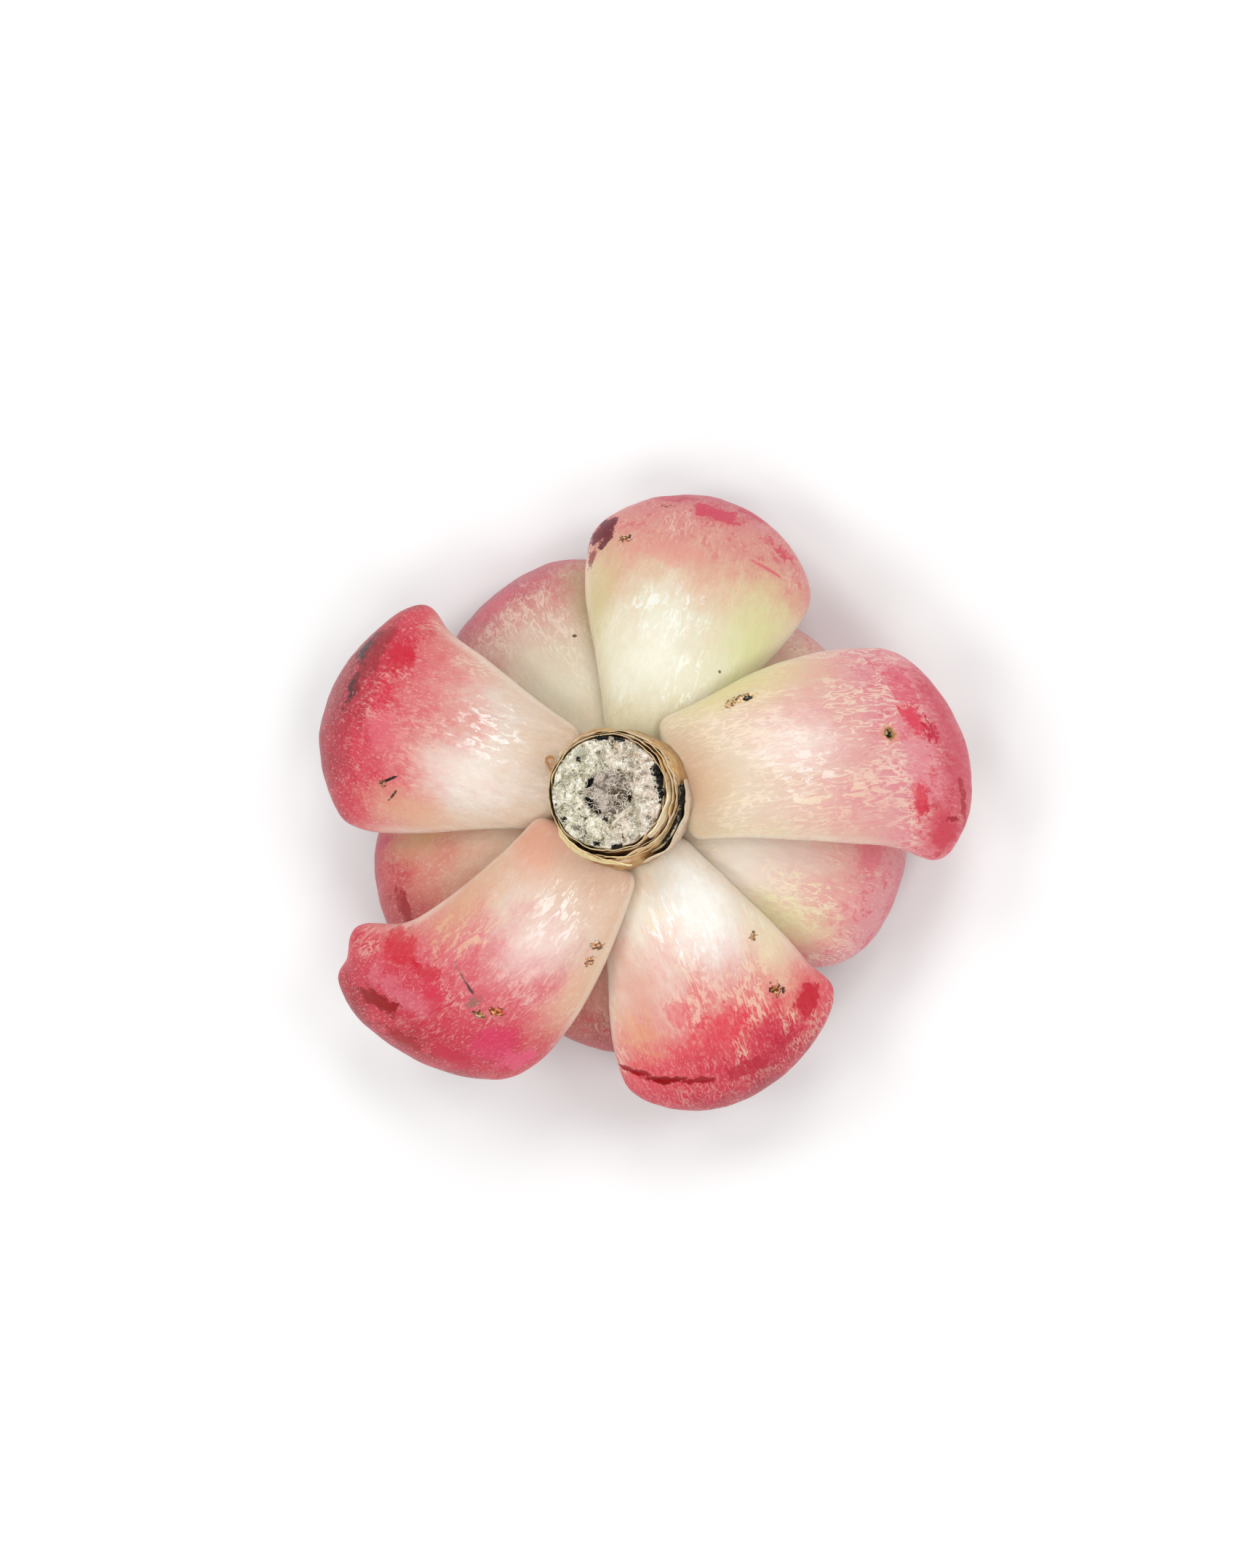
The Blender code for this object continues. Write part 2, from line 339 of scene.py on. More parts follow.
def leaf_skin(name, leaf):
    """Living succulent leaf: water-filled flesh under a waxy skin.

    Light goes most of a millimetre into the flesh, so the pale foot glows a little. The wax is
    thickest near the stem and gives broken white glints there; near-white flecks and patches on
    the foot add painted glints and painted highlights to them. The ripe tip is satin. Pigment lies
    in ragged blotches, and pale flecks about 0.2 mm wide run along the leaf. Real skin cells are
    0.05 mm wide, too fine to show, so they are drawn 0.16 mm wide.
    """
    material, tree = new_material(name)
    grown = add_node(tree, "Attribute", attribute_name="grown").outputs["Vector"]
    share = add_node(tree, "Attribute", attribute_name="share").outputs["Vector"]
    share = add_node(tree, "SeparateXYZ", share)
    along = share.outputs["Z"]
    shift = (leaf.number * 3.1, 0, leaf.number * 1.7)

    drift = pattern(tree, grown, (4.5, 4.5, 6.5), 7.0, 0.66, shift)
    streak = pattern(tree, grown, (0.35, 2.0, 1.6), 4.0, 0.6, shift, 0.4)
    fine = pattern(tree, grown, (0.16, 0.5, 0.4), 3.0, 0.6, shift, 0.5)
    ragged = pattern(tree, grown, (1.3, 1.3, 1.6), 8.0, 0.76, shift)
    grit = pattern(tree, grown, (0.25, 0.25, 0.25), 3.0, 0.6, shift)

    # The colour along the leaf; the noises pull it back and forth.
    tone = add_node(tree, "Math", along, 0.25, operation="SUBTRACT")
    tone = add_node(tree, "Math", drift, 0.5, tone, operation="MULTIPLY_ADD")
    tone = add_node(tree, "Math", tone, 0.08, operation="SUBTRACT")
    tone = add_node(tree, "Math", streak, 0.16, tone, operation="MULTIPLY_ADD")
    skin = add_node(tree, "ValToRGB", tone)
    set_stops(skin, leaf.tones)

    # Thinner flesh near the margins of the pale part.
    side = add_node(tree, "Math", share.outputs["X"], operation="ABSOLUTE")
    young = add_node(tree, "MapRange", along, 0.7, 0.4)
    edge = add_node(tree, "MapRange", side, 0.62, 1.0, 0.0, 0.5)
    edge = add_node(tree, "Math", edge, young, operation="MULTIPLY")
    skin = add_node(tree, "Mix", edge, skin, leaf.margin)

    # Crimson blotches on the ripe part.
    ripe = add_node(tree, "MapRange", along, 0.5, 0.8)
    blush = add_node(tree, "MapRange", ragged, 0.54, 0.58, 0.0, 0.6)
    blush = add_node(tree, "Math", blush, ripe, operation="MULTIPLY")
    skin = add_node(tree, "Mix", blush, skin, leaf.blush)

    # Skin cells, and the pale flecks over them.
    cells = add_node(tree, "MapRange", fine, 0.5, 0.7, 0.0, 0.3)
    skin = add_node(tree, "Mix", cells, skin, "F3D9CC")
    start = 0.62 - 0.35 * leaf.streaks
    zone = pattern(tree, grown, (3.5, 5.0, 5.0), 3.0, 0.5, shift)
    zone = add_node(tree, "MapRange", zone, start, start + 0.16)
    fade = add_node(tree, "MapRange", along, 0.92, 0.68, 0.15 * leaf.streaks, leaf.streaks)
    flecks = threads(tree, grown, (0.45, 2.0, 1.7), 0.06, shift)
    flecks = add_node(tree, "Math", flecks, zone, operation="MULTIPLY")
    flecks = add_node(tree, "Math", flecks, fade, operation="MULTIPLY")
    skin = add_node(tree, "Mix", flecks, skin, leaf.fleck)
    # Pale flecks crowd in the places given for each leaf; the near-white crowds near the foot are painted
    # glints of the wax.
    fleck_and_glint_breakup = pattern(tree, grown, (0.4, 1.6, 1.25), 3.0, 0.55, shift, 0.8)
    fleck_and_glint_breakup = add_node(tree, "MapRange", fleck_and_glint_breakup, 0.53, 0.58)
    for spot in leaf.flecks_and_glints:
        mask = spot_mask(tree, grown, spot, ragged)
        mask = add_node(tree, "Math", mask, fleck_and_glint_breakup, operation="MULTIPLY")
        skin = add_node(tree, "Mix", mask, skin, spot.code)

    rim = add_node(tree, "MapRange", side, 0.9, 0.97, 0.0, 0.5)
    rim = add_node(tree, "Math", rim, young, operation="MULTIPLY")
    skin = add_node(tree, "Mix", rim, skin, "F3E3D0")
    roughness = add_node(tree, "MapRange", fine, 0.3, 0.7, 0.30, 0.42)
    skin, roughness = lay_spots(tree, grown, leaf.spots, skin, roughness, ragged, grit)

    # Fine dents in the skin, and a livelier ripple in the wax over it.
    relief = add_node(tree, "Math", fine, 0.3, operation="MULTIPLY")
    relief = add_node(tree, "Math", streak, 0.4, relief, operation="MULTIPLY_ADD")
    dents = pattern(tree, grown, (1.0, 1.0, 2.0), 3.0, 0.55, shift)
    relief = add_node(tree, "Math", dents, 1.6, relief, operation="MULTIPLY_ADD")
    bump = add_node(tree, "Bump", Height=relief, Strength=0.35, Distance=0.15 * MM)
    ripple = pattern(tree, grown, (0.5, 1.0, 0.9), 3.0, 0.55, shift, 0.8)
    ripple = add_node(tree, "Math", relief, ripple, operation="ADD")
    glint = add_node(tree, "Bump", Height=ripple, Strength=0.8, Distance=0.15 * MM)
    wax = add_node(tree, "MapRange", along, 0.36, 0.66, 0.62, 0.1)
    shader = add_node(
        tree, "BsdfPrincipled", Base_Color=skin, Roughness=roughness, Normal=bump, IOR=1.42,
        Specular_IOR_Level=0.14, Subsurface_Weight=0.65, Subsurface_Radius=(1.0, 0.5, 0.4),
        Subsurface_Scale=0.7 * MM, Coat_Weight=wax, Coat_Roughness=0.12, Coat_Normal=glint)
    add_node(tree, "OutputMaterial", shader)
    return material


# Leaves ----------------------------------------------------------------------------------------

def ball(name, sides, rings):
    """A ball of one millimetre, and its points in rows from the lowest to the highest."""
    deselect_all()
    bpy.ops.mesh.primitive_uv_sphere_add(segments=sides, ring_count=rings, radius=MM)
    piece = bpy.context.object
    piece.name = name
    rows = [[] for _ in range(rings + 1)]
    for vert in piece.data.vertices:
        angle = math.acos(max(-1.0, min(1.0, -vert.co.z / MM)))
        rows[round(angle / math.pi * rings)].append(vert.index)
    return piece, rows


def straight_leaf(name, leaf, sides, rings):
    """The leaf before it bends: a ball whose rings are drawn out to the leaf's outline.

    X is across the leaf, Y is up through its back and Z runs from its foot to its tip.
    """
    piece, rows = ball(name, sides, rings)
    cage = open_cage(piece)
    last = []
    for number, row in enumerate(rows):
        step = max(0, number - 1) / (rings - 1)
        along = 1 - (1 - step) ** 1.6
        height = cage.verts[row[0]].co.z
        radius = MM * math.sin(math.pi * number / rings)
        if 0 < number < rings:
            middle = (0, 0, height)
            thick = leaf.fullness(along)
            for side in (1, -1):
                half = [index for index in row if cage.verts[index].co.x * side > 0]
                last = pick(piece, cage, half, last)
                grow = leaf.half_width(along, side) * MM / radius
                bpy.ops.transform.resize(value=(grow, 1, 1), center_override=middle)
            for side, depth in ((1, leaf.back), (-1, leaf.face)):
                half = [index for index in row if cage.verts[index].co.y * side > 0]
                last = pick(piece, cage, half, last)
                grow = max(0.02, depth * thick) * MM / radius
                bpy.ops.transform.resize(value=(1, grow, 1), center_override=middle)
        last = pick(piece, cage, row, last)
        bpy.ops.transform.translate(value=(0, 0, along * leaf.length * MM - height))
    close_cage()
    return piece, rows


def keep_places(piece, leaf):
    """Store each point's place on the straight leaf, in metres and as shares of its size."""
    places = points_of(piece)
    shares = places.copy()
    for index, (across, up, along) in enumerate(places):
        part = min(1.0, max(0.0, along / (leaf.length * MM)))
        half = max(0.3, leaf.half_width(part, 1 if across > 0 else -1))
        shares[index] = (across / (half * MM), up / (leaf.back * MM), part)
    store(piece, "grown", places)
    store(piece, "share", shares)


def sway(piece, leaf, rows):
    """Shift each ring sideways, more and more towards the tip."""
    cage = open_cage(piece)
    last = []
    for row in rows:
        part = cage.verts[row[0]].co.z / (leaf.length * MM)
        last = pick(piece, cage, row, last)
        bpy.ops.transform.translate(value=(leaf.length * leaf.sweep * part ** 2 * MM, 0, 0))
    close_cage()


def skin_relief(piece, leaf):
    """Soft lumps, lengthwise furrows and the marks' own height, raised along the normals."""
    places = stored(piece, "grown") / MM
    seed = 10.0 + leaf.number
    rise = 0.16 * grain(places, (5.0, 5.0, 7.0), seed)
    rise += 0.06 * grain(places, (1.6, 3.0, 9.0), seed + 5)
    rise += 0.025 * grain(places, (0.7, 2.0, 2.4), seed + 9)
    rise += spot_rise(places, leaf.spots, seed + 13) * (places[:, 1] > 0)
    set_points(piece, points_of(piece) + normals_of(piece) * rise[:, None] * MM)


def make_leaf(node, leaf):
    small = leaf.number >= 2 * WHORL
    piece, rows = straight_leaf(node + "_flesh", leaf, *((20, 18) if small else (32, 28)))
    keep_places(piece, leaf)
    across = points_of(piece)[:, 0]
    cup_radius = leaf.width / (4 * leaf.cup) * MM
    apply_modifier(piece, "SIMPLE_DEFORM", deform_method="BEND", deform_axis="Z",
                   angle=-(across.max() - across.min()) / cup_radius)
    if leaf.sweep:
        sway(piece, leaf, rows)
    apply_modifier(piece, "SIMPLE_DEFORM", deform_method="BEND", deform_axis="X",
                   angle=-math.radians(leaf.curl))
    fine = 3 if leaf.number < WHORL else 2
    apply_modifier(piece, "SUBSURF", levels=fine, render_levels=fine)
    skin_relief(piece, leaf)

    turn = math.radians(leaf.direction)
    lean = math.radians(leaf.lean)
    outward = Vector((math.cos(turn), math.sin(turn), 0))
    sideways = Vector((-math.sin(turn), math.cos(turn), 0))
    up = Vector((0, 0, 1))
    back = math.sin(lean) * outward + math.cos(lean) * up
    forward = math.cos(lean) * outward - math.sin(lean) * up
    reach = stem_radius(leaf.depth) + 0.3 + leaf.face * leaf.fullness(0) * math.sin(lean)
    place = Matrix((sideways, back, forward)).transposed().to_4x4()
    place.translation = CUT_CENTRE + (reach * outward - leaf.depth * up) * MM
    piece.matrix_world = place
    piece.data.materials.append(leaf_skin(node + " skin", leaf))
    settle(piece, node)
    return piece


OUTER_AND_SECOND = {
    "outer_leaf_1": Leaf(
        238, 29.7, 18.4, 3, 55, sweep=-0.26, foot=0.55, widest=0.83, blunt=2.1, skew=-0.02,
        shoulder=0.3, shoulder_at=0.68, margin="DDB898", blush="D42A48", streaks=0.35,
        tones=((0.05, "DAB89E"), (0.2, "DEC6B4"), (0.34, "DC9694"), (0.48, "DA6C76"), (0.64, "D04454"),
               (0.8, "C42E42"), (0.93, "9A1E2C")),
        # The first crowd here is near-white: painted glints on the wax of the foot.
        flecks_and_glints=(Spot(1.4, 6.4, 2.4, 3.2, "FBF4EE", 0.75, 0.7, soft=0.5),
               Spot(-4.2, 11.0, 2.6, 4.4, "EACBA6", 0.6, 0.7, soft=0.5),
               Spot(2.5, 12.0, 3.0, 3.0, "F2C0B8", 0.5, 0.7, soft=0.5)),
        spots=(Spot(6.6, 11.5, 1.6, 5.0, "E6C8A0", 0.5, 0.4, soft=0.8),
               Spot(-5.6, 9.5, 2.0, 4.5, "D9A27C", 0.6, 0.4, soft=0.8),
               # Near-white patch on the pale foot: a painted highlight.
               Spot(1.5, 9.0, 2.2, 3.0, "F0DCD4", 0.6, 0.3, soft=0.8),
               Spot(-6.8, 16.8, 1.8, 1.6, "CE1C30", 0.7, 1.3, soft=0.4),
               Spot(-4.0, 16.6, 1.3, 1.0, "CC2038", 0.7, 1.3, soft=0.3),
               Spot(-2.3, 18.0, 1.2, 1.2, "D83A56", 0.8, 1.0),
               Spot(-4.2, 20.5, 3.0, 1.6, "E68A9A", 0.45, 0.9, soft=0.7),
               Spot(-3.5, 2.0, 2.4, 3.0, "DE9A80", 0.7, 0.3, soft=0.8),
               Spot(-5.0, 23.0, 1.3, 2.4, "9A0004", 1.0, 0.8, turn=60),
               Spot(-0.6, 25.0, 2.8, 1.1, "A80010", 0.9, 1.1, turn=-12),
               Spot(3.0, 23.6, 2.2, 1.4, "C81C3E", 0.85, 0.9),
               Spot(4.4, 19.6, 1.8, 2.6, "DC3E68", 0.7, 0.7, soft=0.4),
               Spot(6.8, 21.0, 1.3, 2.0, "E85A7E", 0.7, 0.9),
               Spot(0.6, 16.3, 0.4, 0.7, "8C7466", 0.75, 0.9, 0.1, soft=0.4),
               Spot(1.7, 17.1, 0.6, 0.4, "9A8040", 0.95, 0.6, 0.2, dry=True),
               Spot(2.5, 16.0, 0.65, 0.5, "D8702A", 1.0, 0.4, 0.25, dry=True),
               Spot(-0.35, 15.45, 0.15, 0.8, "4A4640", 0.9, 0.3, -0.08, -64),
               Spot(-1.5, 14.9, 0.1, 0.8, "6E625C", 0.8, 0.3, -0.05, -60),
               Spot(-2.5, 14.4, 0.07, 0.5, "8F8078", 0.7, 0.3, turn=-66),
               Spot(5.4, 6.9, 0.5, 0.4, "C47C40", 0.9, 0.5, 0.12, dry=True),
               Spot(5.7, 8.4, 0.35, 0.5, "C8844C", 0.9, 0.5, 0.1, dry=True))),
    "outer_leaf_2": Leaf(
        16, 28.7, 18.4, 5, 52, sweep=-0.11, foot=0.58, widest=0.79, blunt=1.9, skew=-0.01,
        shoulder=0.14, shoulder_at=0.78, margin="E8D8B0", blush="D63A52", fleck="F2E0C8", streaks=0.65,
        tones=((0.05, "DECCAC"), (0.2, "DECCB4"), (0.34, "E2C2B0"), (0.48, "E2AEA6"), (0.64, "E2969C"),
               (0.8, "E58E96"), (0.95, "CC4A5C")),
        # The first crowd here is near-white: painted glints on the wax of the foot.
        flecks_and_glints=(Spot(-1.2, 10.2, 3.6, 3.6, "FAF0EA", 0.75, 0.7, soft=0.5),
               Spot(-5.2, 13.6, 2.2, 4.8, "F4E8C4", 0.9, 0.7, soft=0.5),
               Spot(-4.0, 18.0, 3.4, 2.0, "F4D2C4", 0.6, 0.7, soft=0.5)),
        spots=(Spot(7.0, 6.5, 2.4, 6.5, "DDD394", 0.8, 0.3, soft=0.8),
               Spot(-0.5, 1.5, 3.6, 2.6, "DDB08C", 0.6, 0.3, soft=0.8),
               Spot(-5.8, 14.4, 2.4, 4.6, "E29A9C", 0.55, 0.5, soft=0.8),
               # Near-white patch on the pale foot: a painted highlight.
               Spot(0.5, 10.5, 2.2, 3.6, "F4E4DC", 0.6, 0.4, soft=0.8),
               Spot(5.0, 7.2, 0.55, 1.7, "D2AE7C", 1.0, 0.6, 0.3, -12, dry=True),
               Spot(5.0, 7.9, 0.2, 0.6, "1E120A", 1.0, 0.6, -0.3, -12),
               Spot(0.3, 18.4, 0.9, 0.9, "DE9A74", 0.6, 0.3),
               Spot(0.3, 18.4, 0.6, 0.6, "A87C4C", 1.0, 0.2, 0.15),
               Spot(0.3, 18.4, 0.36, 0.4, "20140C", 1.0, 0.5, -0.6),
               Spot(0.4, 18.3, 0.16, 0.2, "E6D6B0", 0.9, 0.4),
               Spot(1.5, 21.2, 1.6, 1.2, "E02A4C", 0.8, 0.9),
               Spot(0.6, 22.8, 1.0, 0.8, "C81838", 0.9, 0.9),
               Spot(-5.2, 20.2, 1.9, 0.8, "DC2844", 0.75, 1.3, soft=0.4),
               Spot(4.6, 21.6, 2.0, 1.4, "E0506C", 0.6, 0.9),
               Spot(-1.0, 25.2, 7.0, 2.2, "CE3A54", 0.6, 1.0, soft=0.7),
               Spot(-5.4, 25.2, 1.6, 0.6, "AC1020", 0.8, 1.0),
               Spot(-7.6, 22.6, 2.8, 2.6, "CC2C44", 0.8, 0.9, soft=0.5),
               Spot(-6.8, 23.6, 0.25, 0.9, "A4202E", 0.9, 0.5))),
    "outer_leaf_3": Leaf(
        162, 31.4, 19.6, 6, 54, sweep=-0.01, foot=0.45, widest=0.74, blunt=1.5, skew=-0.01,
        shoulder=0.14, shoulder_at=0.7, margin="DCC0A4", blush="CC2440", streaks=0.35,
        tones=((0.05, "D8BEA2"), (0.18, "DECEC0"), (0.32, "DEA69C"), (0.45, "DC7678"), (0.6, "D44052"),
               (0.76, "AE2436"), (0.93, "961E2E")),
        # The first crowd here is near-white: painted glints on the wax of the foot.
        flecks_and_glints=(Spot(-1.5, 7.5, 2.4, 3.4, "F8F4EE", 0.75, 0.7, soft=0.5),
               Spot(1.0, 13.0, 3.4, 3.0, "F4C2B4", 0.4, 0.7, soft=0.5)),
        # The first mark is a near-white patch on the pale foot: a painted highlight.
        spots=(Spot(2.0, 8.5, 2.4, 3.6, "F2E8DE", 0.6, 0.4, soft=0.8),
               Spot(6.5, 13.0, 1.6, 5.0, "DDB28E", 0.6, 0.4, soft=0.8),
               Spot(-5.0, 24.4, 2.0, 1.2, "1C0506", 0.95, 1.0),
               Spot(-2.0, 23.4, 1.8, 0.8, "2A080A", 0.9, 1.0),
               Spot(-5.0, 22.8, 2.8, 1.8, "981022", 0.75, 0.9),
               Spot(-5.8, 19.2, 2.0, 2.2, "D01434", 0.85, 0.9),
               Spot(-2.2, 19.0, 1.4, 1.2, "D8304A", 0.7, 1.0),
               Spot(4.5, 26.6, 2.6, 1.0, "A21C30", 0.8, 0.8),
               Spot(2.6, 22.6, 1.4, 0.8, "B82840", 0.7, 1.0),
               Spot(0.8, 17.5, 1.6, 2.4, "E8808C", 0.5, 0.8, soft=0.5),
               Spot(4.5, 15.6, 0.15, 1.3, "24140E", 1.0, 0.35, -0.2, -30),
               Spot(5.6, 14.9, 0.14, 0.8, "3E281C", 0.95, 0.35, -0.15, -50),
               Spot(4.9, 16.1, 0.3, 0.4, "A07A50", 0.9, 0.6, 0.1, dry=True))),
    "outer_leaf_4": Leaf(
        292.5, 27.5, 19.4, 8, 51, sweep=-0.06, foot=0.38, widest=0.75, blunt=1.8, shoulder=0.12,
        shoulder_at=0.72, shoulder_side=1, margin="E8D6BC", blush="D02C48", fleck="F4E2C4", streaks=0.55,
        tones=((0.05, "E8D2B6"), (0.2, "E8E0D0"), (0.34, "E8C6BA"), (0.48, "E4948E"), (0.62, "E25E66"),
               (0.78, "CC3048"), (0.94, "A42438")),
        # The first two crowds here are near-white: painted glints on the wax of the foot.
        flecks_and_glints=(Spot(1.0, 6.8, 2.6, 3.4, "FDFBF8", 0.8, 0.7, soft=0.5),
               Spot(6.6, 8.2, 0.8, 3.2, "F8F4EA", 0.6, 0.7, soft=0.5),
               Spot(-1.0, 13.2, 3.2, 2.8, "F4D0BC", 0.6, 0.7, soft=0.5)),
        # The first mark is a near-white patch on the pale foot: a painted highlight.
        spots=(Spot(2.6, 6.0, 2.6, 4.6, "F8F6F0", 0.8, 0.4, soft=0.8),
               Spot(-4.6, 10.0, 1.8, 5.0, "DE9A84", 0.55, 0.4, soft=0.8),
               Spot(6.6, 12.0, 1.6, 5.0, "EADFB8", 0.6, 0.5, soft=0.8),
               Spot(-6.4, 14.6, 1.6, 2.6, "E8B878", 0.35, 0.8, soft=0.6),
               Spot(1.0, 16.0, 2.0, 1.6, "E23A50", 0.6, 0.9),
               Spot(-2.6, 13.4, 1.4, 1.2, "E4586A", 0.5, 1.0),
               Spot(-8.0, 18.5, 1.6, 0.4, "A00410", 1.0, 0.9, -0.12, 18),
               Spot(-5.6, 19.7, 2.0, 0.45, "960008", 1.0, 0.9, -0.12, 14),
               Spot(-3.0, 20.6, 1.5, 0.4, "A00410", 0.95, 0.9, -0.08, 14),
               Spot(8.0, 18.3, 1.4, 1.8, "C81C34", 0.9, 0.6),
               Spot(1.5, 21.3, 2.6, 1.0, "BE1E38", 0.8, 0.9),
               Spot(5.0, 20.4, 1.2, 0.7, "C42440", 0.8, 0.9),
               Spot(5.7, 15.4, 0.5, 0.65, "B06A38", 1.0, 0.7, 0.2, dry=True),
               Spot(6.3, 15.9, 0.2, 0.3, "2E1A10", 0.9, 0.5, -0.1),
               Spot(5.7, 10.3, 0.35, 0.4, "B8844C", 0.9, 0.5, 0.1, dry=True))),
    "outer_leaf_5": Leaf(
        73, 29.4, 20.6, 10, 51, sweep=0.06, foot=0.3, widest=0.68, blunt=1.6, margin="DCD2A8",
        blush="D43A56", fleck="F6ECD8", streaks=0.35,
        tones=((0.05, "DCD0A8"), (0.2, "E6E2CA"), (0.36, "E4DABE"), (0.5, "E2BEA2"), (0.64, "DE9A8C"),
               (0.78, "DA8884"), (0.95, "C64A5E")),
        # Both crowds here are near-white: painted glints on the wax of the foot.
        flecks_and_glints=(Spot(1.2, 11.0, 3.2, 2.6, "FCFBF4", 0.75, 0.7, soft=0.5),
               Spot(-2.0, 6.0, 1.6, 3.0, "FAF8EC", 0.6, 0.7, soft=0.5)),
        spots=(Spot(-6.6, 12.0, 2.6, 6.0, "DCDCA0", 0.8, 0.4, soft=0.9),
               Spot(7.6, 10.0, 1.8, 7.0, "CCBC80", 0.6, 0.3, soft=0.8),
               # Near-white patch on the pale foot: a painted highlight.
               Spot(1.0, 9.0, 2.4, 5.0, "F6F5E6", 0.6, 0.4, soft=0.8),
               Spot(2.0, 17.0, 3.0, 1.2, "E69A90", 0.5, 0.9, soft=0.4),
               Spot(9.0, 19.4, 1.3, 2.6, "6A0824", 0.95, 0.7),
               Spot(9.2, 16.4, 0.5, 1.4, "8A2434", 0.8, 0.6),
               Spot(-0.3, 23.5, 2.2, 1.5, "D2204E", 0.8, 0.9),
               Spot(-3.6, 26.6, 2.0, 1.2, "CC2448", 0.85, 0.9),
               Spot(-6.6, 22.4, 0.9, 0.9, "D83450", 0.8, 0.9),
               Spot(4.0, 25.4, 2.0, 1.0, "C82848", 0.6, 0.9),
               Spot(-5.7, 19.1, 1.6, 0.25, "E0506C", 0.7, 0.6),
               Spot(6.6, 18.0, 0.5, 0.4, "9A6A3C", 0.95, 0.8, 0.2, dry=True),
               Spot(6.2, 18.4, 0.14, 0.3, "2A180E", 0.9, 0.5),
               Spot(4.0, 23.3, 0.5, 0.2, "B87858", 0.9, 0.8, dry=True),
               Spot(-4.7, 7.8, 0.16, 0.16, "6A4A34", 0.9, 0.2),
               Spot(10.6, 11.5, 0.1, 0.12, "4A3020", 0.8, 0.2))),
    "second_leaf_1": Leaf(
        203, 28.5, 18.6, 18, 48, margin="CCA67E", blush="B01E30", streaks=0.35,
        tones=((0.05, "D4AE90"), (0.2, "DABCA2"), (0.36, "D8A48C"), (0.52, "D68272"), (0.66, "CC5252"),
               (0.8, "BC3A42"), (0.94, "9E2A36")),
        spots=(Spot(0.6, 19.5, 2.4, 1.2, "AA0A12", 0.95, 0.8),
               Spot(3.6, 20.0, 1.4, 0.9, "A01422", 0.8, 0.9),
               Spot(-4.8, 14.0, 1.8, 5.0, "CCAE78", 0.6, 0.4, soft=0.8),
               Spot(-6.0, 21.0, 0.4, 2.2, "C83058", 0.7, 0.8))),
    "second_leaf_2": Leaf(
        342, 24.7, 18.4, 17, 48, margin="E0CCA6", blush="D8445C", fleck="F4E8CC", streaks=0.6,
        tones=((0.05, "E6D2BC"), (0.2, "EADECE"), (0.36, "E8CEC0"), (0.52, "E8B8AC"), (0.68, "E69A9A"),
               (0.82, "DE9498"), (0.95, "D46A7A")),
        flecks_and_glints=(Spot(-3.4, 12.0, 2.6, 4.0, "F2EAC4", 0.75, 0.7, soft=0.5),),
        spots=(Spot(-5.6, 11.2, 2.0, 5.0, "E4DEAC", 0.7, 0.4, soft=0.8),
               Spot(2.0, 17.0, 2.0, 1.6, "E06478", 0.5, 0.9))),
    "second_leaf_3": Leaf(
        122, 26.3, 18.5, 19, 46, margin="C8B280", blush="CC4458", streaks=0.4,
        tones=((0.05, "DACAAA"), (0.2, "DCD4BC"), (0.36, "DACAB2"), (0.5, "D6B6A4"), (0.64, "D2968A"),
               (0.8, "C4626A"), (0.95, "B44E60")),
        spots=(Spot(-6.0, 12.0, 1.8, 8.0, "C0AE74", 0.65, 0.4, soft=0.8),
               Spot(-3.3, 10.3, 0.2, 0.2, "5A3A24", 0.9, 0.2),
               Spot(2.0, 20.0, 2.4, 1.6, "D85870", 0.5, 0.9))),
    "second_leaf_4": Leaf(
        261, 23.7, 17.3, 21, 45, margin="C68E6C", blush="D04050", streaks=0.35,
        tones=((0.05, "DCB89C"), (0.2, "E4D0BC"), (0.36, "E2BAA8"), (0.52, "D89A86"), (0.66, "BC6A5C"),
               (0.82, "B45A54"), (0.95, "A84A50"))),
    "second_leaf_5": Leaf(
        37, 23.3, 17.3, 23, 44, margin="DCD09C", blush="DC6878", fleck="F6F2DA", streaks=0.5,
        tones=((0.05, "D8CC98"), (0.2, "DCD0A0"), (0.36, "E0D4AC"), (0.52, "E0CCB0"), (0.68, "E0BCA6"),
               (0.82, "DEA29A"), (0.95, "D88E92")),
        spots=(Spot(-5.0, 14.0, 2.2, 6.0, "E4E2AC", 0.8, 0.4, soft=0.8),)),
}

BUD_DEPTH = 25.4
BUD_RADIUS = 1.0
BUD_HALF_LENGTH = 2.3
YOUNG_TONES = ((0.05, "DCD2B0"), (0.3, "DCD8B6"), (0.55, "DCCCAE"), (0.75, "DAA898"), (0.92, "CC6C72"))
FIRST_YOUNG_DIRECTION = 172.0


def length_for_drop(tip_depth, number, lean, curl):
    """Length that brings a young leaf's tip to a depth."""
    start = math.radians(lean)
    bend = math.radians(curl)
    depth = Leaf(0, 0, 0, lean, curl, number=number).depth
    return (tip_depth - depth) * bend / (math.cos(start) - math.cos(start + bend))


def young_leaves():
    """The three whorls inside: each leaf follows the last by the golden angle."""
    leaves = {}
    direction = FIRST_YOUNG_DIRECTION
    whorls = (("third_leaf", 29.3, 36, 36, 12.8, 0.4, 2.4, 1.7),
              ("inner_leaf", 28.8, 52, 24, 7.6, 0.3, 1.7, 1.1),
              ("heart_leaf", 28.0, 68, 12, 3.6, 0.15, 1.0, 0.7))
    for order, (name, drop, lean, curl, width, loss, back, face) in enumerate(whorls):
        for step in range(WHORL):
            number = (2 + order) * WHORL + step
            tilt = lean + 2 * step
            length = length_for_drop(drop, number, tilt, curl)
            leaves[f"{name}_{step + 1}"] = Leaf(
                direction % 360, length, width - loss * step, tilt, curl, back=back, face=face,
                tones=YOUNG_TONES, margin="D4B890", streaks=0.3)
            direction += GOLDEN_ANGLE
    return leaves


